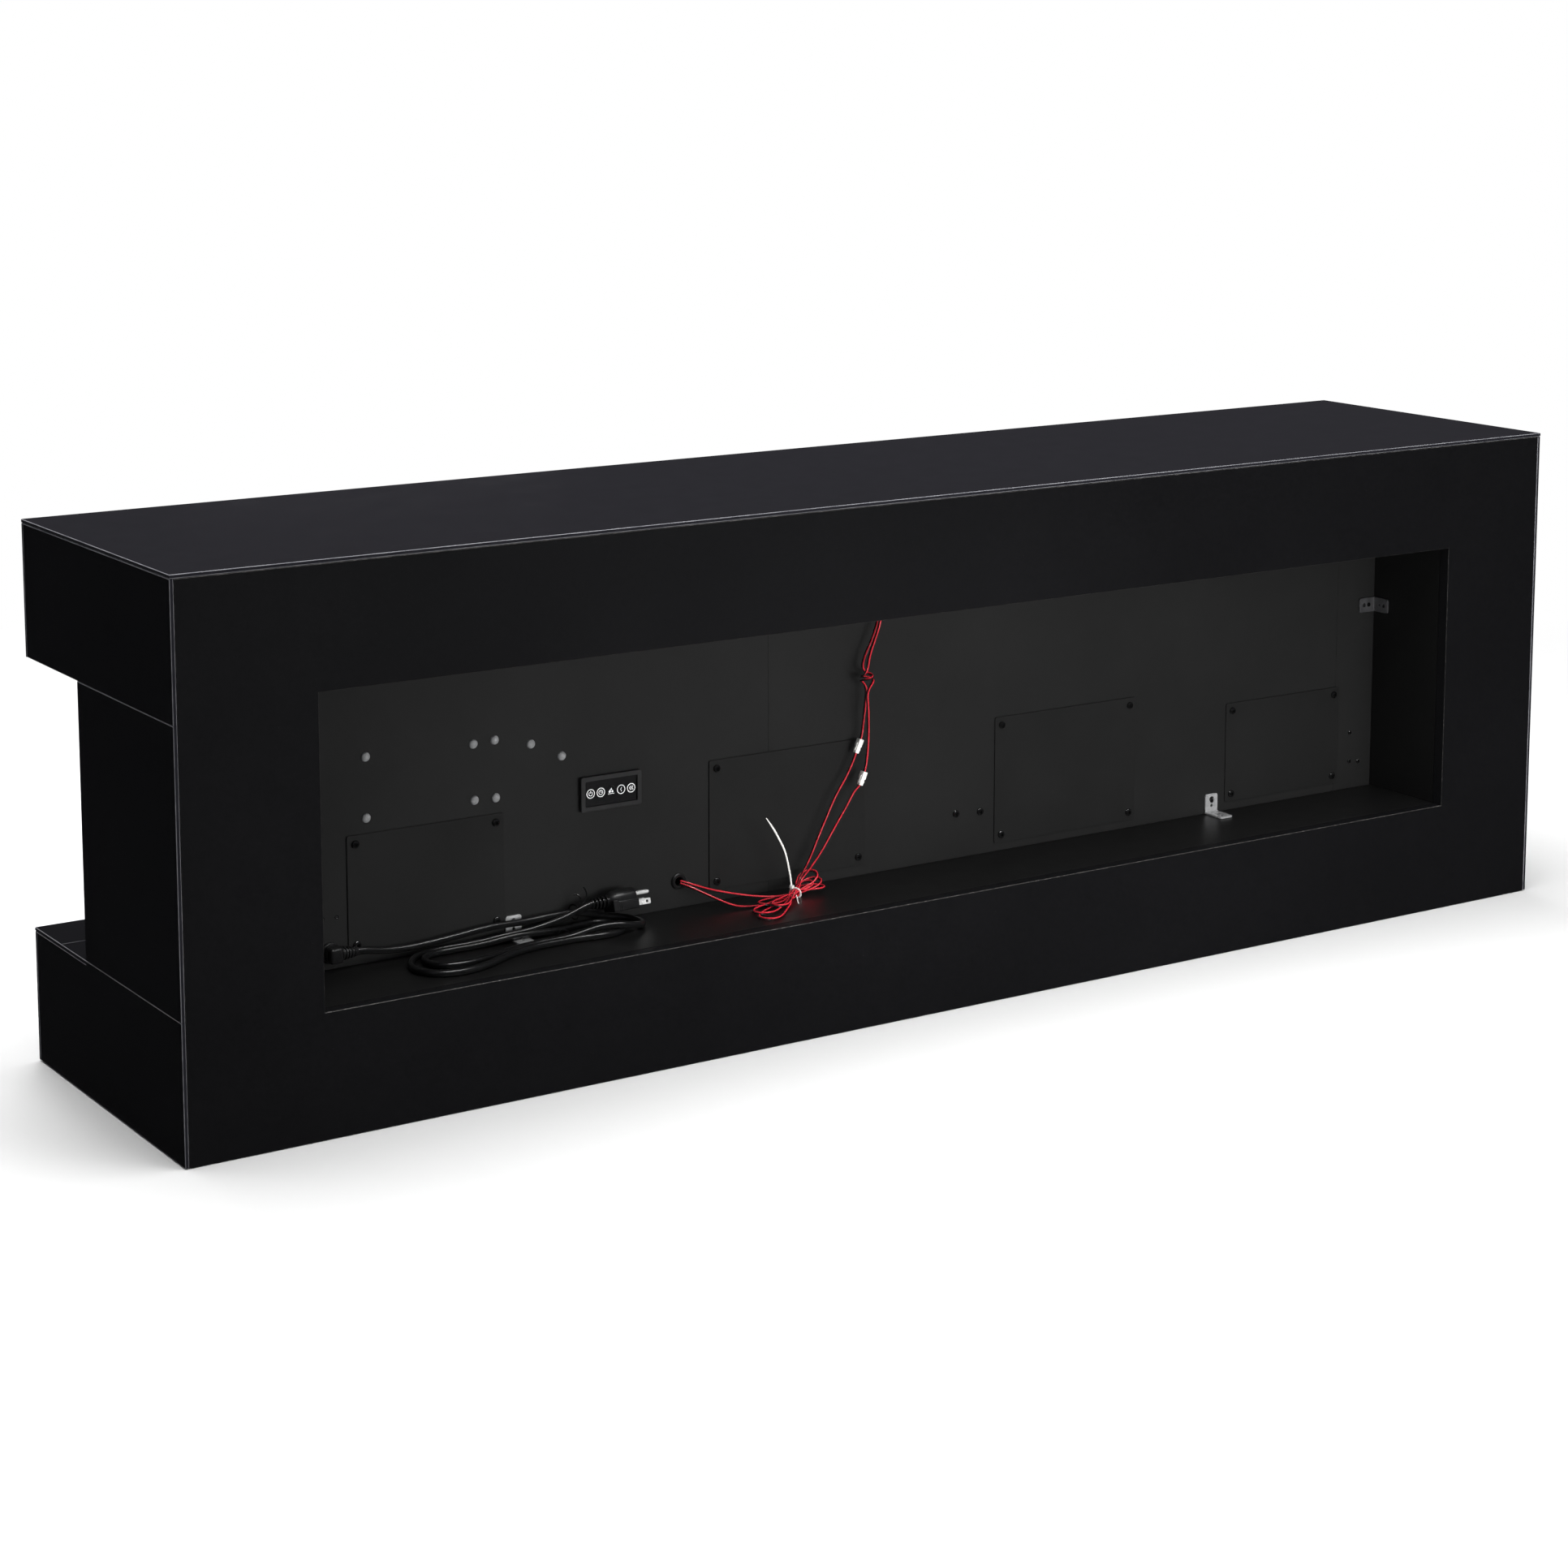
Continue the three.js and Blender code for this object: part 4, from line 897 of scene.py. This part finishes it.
# ---------------------------------------------------------------- sheet metal details
def cross_screw(r, h):
    """A pan head with a cross recess, of a radius and height in mm."""
    dome = [(1, 0.34), (0.97, 0.52), (0.88, 0.70), (0.72, 0.86), (0.48, 0.96), (0.22, 1), (0, 1)]
    head = lathe([(0, -0.3), (r, -0.3), *((out * r, up * h) for out, up in dome)], 36)
    arm, width = 0.58 * r, 0.17 * r
    tools = []
    for a in (0, math.pi / 2):
        part = bmesh.new()
        corners = [(-arm, -width), (arm, -width), (arm, width), (-arm, width)]
        top = [part.verts.new(metres((x, y, h + 1))) for x, y in corners]
        foot = [part.verts.new(metres((x * 0.45, y * 0.7, 0.30 * h))) for x, y in corners]
        part.faces.new(top)
        part.faces.new(foot[::-1])
        for k in range(4):
            part.faces.new((foot[k], foot[(k + 1) % 4], top[(k + 1) % 4], top[k]))
        part.transform(Matrix.Rotation(a, 4, "Z"))
        tools.append(part)
    return subtract(head, tools)


def make_covers(m, screw):
    rng = random.Random(7)
    for number, (x0, x1, z0, z1) in enumerate(COVERS, 1):
        outline = rounded(x1 - x0, z1 - z0, 2.2, 4)
        plate = slab(outline, COVER_THICKNESS, 0.3)
        plate.transform(on_sheet((x0 + x1) / 2, (z0 + z1) / 2, SHEET_FACE + GAP))
        name = f"service_cover_{number}"
        piece(f"cover_plate_{number}", plate, m["cover"], replaces=[name])
        bm = bmesh.new()
        for x in (x0 + COVER_INSET, x1 - COVER_INSET):
            for z in (z0 + COVER_INSET, z1 - COVER_INSET):
                put(bm, screw, on_sheet(x, z, SHEET_FACE + GAP + COVER_THICKNESS, rng.uniform(0, math.pi)))
        piece(f"cover_screws_{number}", bm, m["screw"])


def make_sheet_details(m, screw, small_screw):
    """Rivet heads, loose screws, pilot holes and the sheet's folded seams."""
    bm = bmesh.new()
    r, h = 4.9, 3.25
    dome = [(0, -0.3), (r, -0.3), (r, 0.35)]
    dome += [(r * math.cos(a), 0.35 + (h - 0.35) * math.sin(a)) for a in (0.25, 0.5, 0.75, 1.0, 1.25, 1.42)]
    head = lathe(dome + [(0, h)], 36)
    for x, z in RIVETS:
        put(bm, head, on_sheet(x, z))
    piece("rivet_heads", bm, m["rivet"])
    bm = bmesh.new()
    rng = random.Random(11)
    for x, z in SHEET_SCREWS:
        put(bm, screw, on_sheet(x, z, SHEET_FACE, rng.uniform(0, math.pi)))
    for x, z in SMALL_SCREWS:
        put(bm, small_screw, on_sheet(x, z, SHEET_FACE, rng.uniform(0, math.pi)))
    piece("sheet_screws", bm, m["screw"])
    bm = bmesh.new()
    rim = lathe([(0, -0.2), (2.3, -0.2), (2.3, 0.15), (1.9, 0.35), (1.5, 0.1), (1.35, -0.1), (0, -0.1)], 24)
    for x, z in PILOT_HOLES:
        put(bm, rim, on_sheet(x, z))
    piece("pilot_holes", bm, m["overlay"])
    bm = bmesh.new()
    for x in SHEET_SEAMS:
        low = (x - 0.5, SHEET_FACE - 0.1, RECESS_FLOOR + 1)
        put(bm, box(low, (x + 0.5, SHEET_FACE + 0.25, RECESS_CEILING - 1), 0.1, 1))
    piece("sheet_seams", bm, m["cover"])


def bent_bracket(width, floor_leaf, wall_leaf, holes, corner=3.0, inner=1.4):
    """An L bracket cut flat with its holes, then bent: X its width, one leaf along +Y, the other up +Z."""
    t = BRACKET_PLATE
    radius = inner + t / 2
    arc = radius * math.pi / 2
    first, second = floor_leaf - inner - t, wall_leaf - inner - t
    total = first + arc + second
    outline = []
    for x, y, start in ((1, 1, 0), (-1, 1, 90), (-1, 0, 180), (1, 0, 270)):
        for k in range(6):
            a = math.radians(start + 18 * k)
            cy = total - corner if y else corner
            outline.append((x * (width / 2 - corner) + corner * math.cos(a), cy + corner * math.sin(a)))
    plate = slab(outline, t, 0.25)
    tools = []
    for x, along, r in holes:
        at = along if along >= 0 else total + along
        tool = lathe([(0, -2), (r, -2), (r, t + 2), (0, t + 2)], 24)
        tool.transform(shift(x, at, 0))
        tools.append(tool)
    plate = subtract(plate, tools)
    for k in range(9):
        geometry = plate.verts[:] + plate.edges[:] + plate.faces[:]
        fold = metres((0, first + arc * k / 8, 0))
        bmesh.ops.bisect_plane(plate, geom=geometry, plane_co=fold, plane_no=ALONG_Y)
    for v in plate.verts:
        y, z = v.co.y / MM, v.co.z / MM
        if y <= first:
            place = (first - y + inner + t, z)
        elif y <= first + arc:
            a = (y - first) / arc * math.pi / 2
            reach = inner + t - z
            place = (inner + t - reach * math.sin(a), inner + t - reach * math.cos(a))
        else:
            place = (z, y - first - arc + inner + t)
        v.co.y, v.co.z = place[0] * MM, place[1] * MM
    return plate


def make_brackets(m, small_screw):
    """Two bright L brackets on the recess floor and the dark one in the far corner."""
    for name, x in FLOOR_BRACKETS.items():
        holes = [(0, 9.5, 2.1), (0, 17.5, 3.6), (0, -6.5, 3.4), (0, -14.5, 2.0)]
        bm = bent_bracket(19, 31, 24, holes)
        bm.transform(shift(x, SHEET_FACE + GAP, RECESS_FLOOR + GAP))
        piece(name + "_plate", bm, m["zinc"], replaces=[name])
    bm = bmesh.new()
    for x in FLOOR_BRACKETS.values():
        put(bm, small_screw, on_sheet(x, RECESS_FLOOR + 15.6, SHEET_FACE + GAP + BRACKET_PLATE, 0.6))
    piece("bracket_screws", bm, m["screw"])
    holes = [(0, 7.5, 2.6), (0, 15, 1.8), (0, -7.5, 2.6), (0, -15, 1.8)]
    bm = bent_bracket(18, 26, 26, holes)
    # local X up, the first leaf along the sheet, the second along the end board
    turn = Matrix(((0, 1, 0), (0, 0, 1), (1, 0, 0))).to_4x4()
    bm.transform(shift(-RECESS_HALF_L + GAP, SHEET_FACE + GAP, CORNER_BRACKET_Z) @ turn)
    piece("corner_bracket_plate", bm, m["dark_steel"], replaces=["corner_bracket"])
    bm = bmesh.new()
    place = on_sheet(-RECESS_HALF_L + GAP + 11, CORNER_BRACKET_Z, SHEET_FACE + GAP + BRACKET_PLATE, 0.3)
    put(bm, small_screw, place)
    piece("corner_screw", bm, m["screw"])


# ---------------------------------------------------------------- rear control panel
def ring(outer, inner, segments=40, start=0.0, sweep_angle=2 * math.pi):
    """A flat ring or arc of print."""
    bm = bmesh.new()
    closed = sweep_angle >= 2 * math.pi - 1e-6
    count = segments if closed else segments + 1
    columns = []
    for k in range(count):
        a = start + sweep_angle * k / segments
        c, s = math.cos(a), math.sin(a)
        columns.append([bm.verts.new(metres(p)) for p in (
            (outer * c, outer * s, 0), (outer * c, outer * s, PRINT),
            (inner * c, inner * s, PRINT), (inner * c, inner * s, 0))])
    for k in range(count if closed else count - 1):
        one, two = columns[k], columns[(k + 1) % count]
        for j in range(4):
            bm.faces.new((one[j], two[j], two[(j + 1) % 4], one[(j + 1) % 4]))
    if not closed:
        bm.faces.new(columns[0])
        bm.faces.new(columns[-1][::-1])
    return bm


def stroke(x0, y0, x1, y1, width=0.7):
    """A straight bar of print."""
    length = math.hypot(x1 - x0, y1 - y0)
    bar = slab(rounded(length + width, width, width * 0.45, 3), PRINT)
    angle = math.atan2(y1 - y0, x1 - x0)
    bar.transform(shift((x0 + x1) / 2, (y0 + y1) / 2, 0) @ Matrix.Rotation(angle, 4, "Z"))
    return bar


def flame_shape(scale):
    """A plain flame with a leaning tip."""
    points = [
        (0.2, 1.7), (0.75, 0.95), (1.15, 0.2), (1.2, -0.55), (0.8, -1.2), (0, -1.45),
        (-0.8, -1.2), (-1.2, -0.55), (-1.05, 0.25), (-0.6, 0.7), (-0.35, 0.2), (-0.15, 1.0),
    ]
    return [(x * scale, y * scale) for x, y in points]


def wave(x, width=0.62):
    """A rising wave of warm air."""
    centre = [(x + 0.6 * math.sin(0.9 * k), -2.3 + 0.46 * k) for k in range(11)]
    right = [(px + width / 2, py) for px, py in centre]
    left = [(px - width / 2, py) for px, py in reversed(centre)]
    return slab(right + left, PRINT)


def key_marks():
    """The five generic symbols: power, timer, flame, low heat and high heat."""
    def rim():
        return ring(5.05, 4.3)
    power = [rim(), ring(2.5, 1.85, 28, math.radians(125), math.radians(290)), stroke(0, 0.6, 0, 2.9)]
    timer = [rim(), ring(2.7, 2.1), stroke(0, 0, 0, 1.6, 0.55), stroke(0.7, 0, 1.2, 0, 0.5)]
    flame = [slab([(x - 1.6, y - 0.3) for x, y in flame_shape(1.15)], PRINT),
             slab([(x + 1.7, y - 0.6) for x, y in flame_shape(0.95)], PRINT),
             slab([(x + 0.2, y + 1.9) for x, y in flame_shape(0.75)], PRINT), stroke(-3.6, -3, 3.6, -3, 0.6)]
    low = [rim(), wave(0)]
    high = [rim(), wave(-1.7), wave(0), wave(1.7)]
    return {"power": power, "timer": timer, "flame": flame, "heat_low": low, "heat_high": high}


def make_keypad(m):
    """A raised frame round a glossy overlay, and a printed symbol on each key."""
    k = KEYPAD
    base, depth = SHEET_FACE + GAP, 4.7
    frame_part = slab(rounded(k["width"], k["height"], 2.0, 5), depth, 0.7)
    window = slab(rounded(k["width"] - 2 * k["border"], k["height"] - 2 * k["border"], 1.2, 4), 4)
    window.transform(shift(0, 0, k["face"] - base - 0.35))
    wells = []
    for index in range(5):
        well = lathe([(0, -2), (KEY_RADIUS + 0.25, -2), (KEY_RADIUS + 0.25, 8), (0, 8)], 40)
        # local X runs towards -X on the sheet
        well.transform(shift((index - 2) * KEY_PITCH, 0, 0))
        wells.append(well)
    frame_part = subtract(frame_part, [window, *wells])
    frame_part.transform(on_sheet(k["x"], k["z"], base))
    looks = [m["keypad"], m["overlay"]]
    obj = piece("keypad_frame", frame_part, looks, replaces=["keypad_bezel"])
    for polygon in obj.data.polygons:
        near_face = abs(polygon.center.y / MM - (k["face"] - 0.35)) < 0.1
        if near_face and polygon.normal.y > 0.9:
            polygon.material_index = 1
    for index, (name, marks) in enumerate(key_marks().items()):
        bm = bmesh.new()
        for mark in marks:
            put(bm, mark)
            mark.free()
        bm.transform(on_sheet(k["x"] + (2 - index) * KEY_PITCH, k["z"], k["face"] - 0.02))
        piece("mark_" + name, bm, m["print"], body=f"key_{name}_cap")


# ---------------------------------------------------------------- crystals
def make_crystals(m):
    """Loose crushed glass along the ember tray."""
    low, high = (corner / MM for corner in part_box("crystal_bed"))
    rng = random.Random(5)
    bm = bmesh.new()
    shapes = []
    for _ in range(14):
        part = bmesh.new()
        for _ in range(12):
            direction = Vector((rng.gauss(0, 1), rng.gauss(0, 1), rng.gauss(0, 1))).normalized()
            part.verts.new(direction * rng.uniform(0.75, 1.0))
        hull = bmesh.ops.convex_hull(part, input=part.verts[:])
        spare = hull["geom_interior"] + hull["geom_unused"]
        inside = list({v for v in spare if isinstance(v, bmesh.types.BMVert)})
        bmesh.ops.delete(part, geom=inside, context="VERTS")
        shapes.append(part)
    x = low.x + 6
    while x < high.x - 6:
        for row in range(4):
            y = low.y + 5 + (high.y - low.y - 10) * (row + rng.uniform(0.1, 0.9)) / 4
            size = rng.uniform(3.6, 6.4) * MM
            z = low.z + 8 + rng.uniform(0, 12) + row * 1.0
            spin = Matrix.Rotation(rng.uniform(0, 6.28), 4, "Z") @ Matrix.Rotation(rng.uniform(0, 3), 4, "X")
            stretch = Matrix.Diagonal((size, size * rng.uniform(0.7, 1.1), size * rng.uniform(0.6, 1), 1))
            put(bm, rng.choice(shapes), shift(x + rng.uniform(-3, 3), y, z) @ spin @ stretch)
        x += 7.4
    for part in shapes:
        part.free()
    piece("crystals", bm, m["crystal"], replaces=["crystal_bed"], smooth=False)


# ---------------------------------------------------------------- build
bpy.context.scene.view_settings.view_transform = "Standard"
make_camera()
make_world()
make_stage()
make_lights()
materials = make_materials()
finish_nodes(materials)

gland_piece = make_gland(materials)
plug = make_plug(materials)
make_mains_cord(materials)
make_grommet(materials)
make_lead("low_voltage_lead_a", LEAD_A, ["lead_a", "lead_hank"], "connector_a", materials)
make_lead("low_voltage_lead_b", LEAD_B, ["lead_b", "lead_pair"], "connector_b", materials)
make_ties(materials)

big = cross_screw(4.4, 2.6)
small = cross_screw(2.6, 1.7)
make_covers(materials, big)
make_sheet_details(materials, big, small)
make_brackets(materials, small)
big.free()
small.free()
make_keypad(materials)
make_crystals(materials)
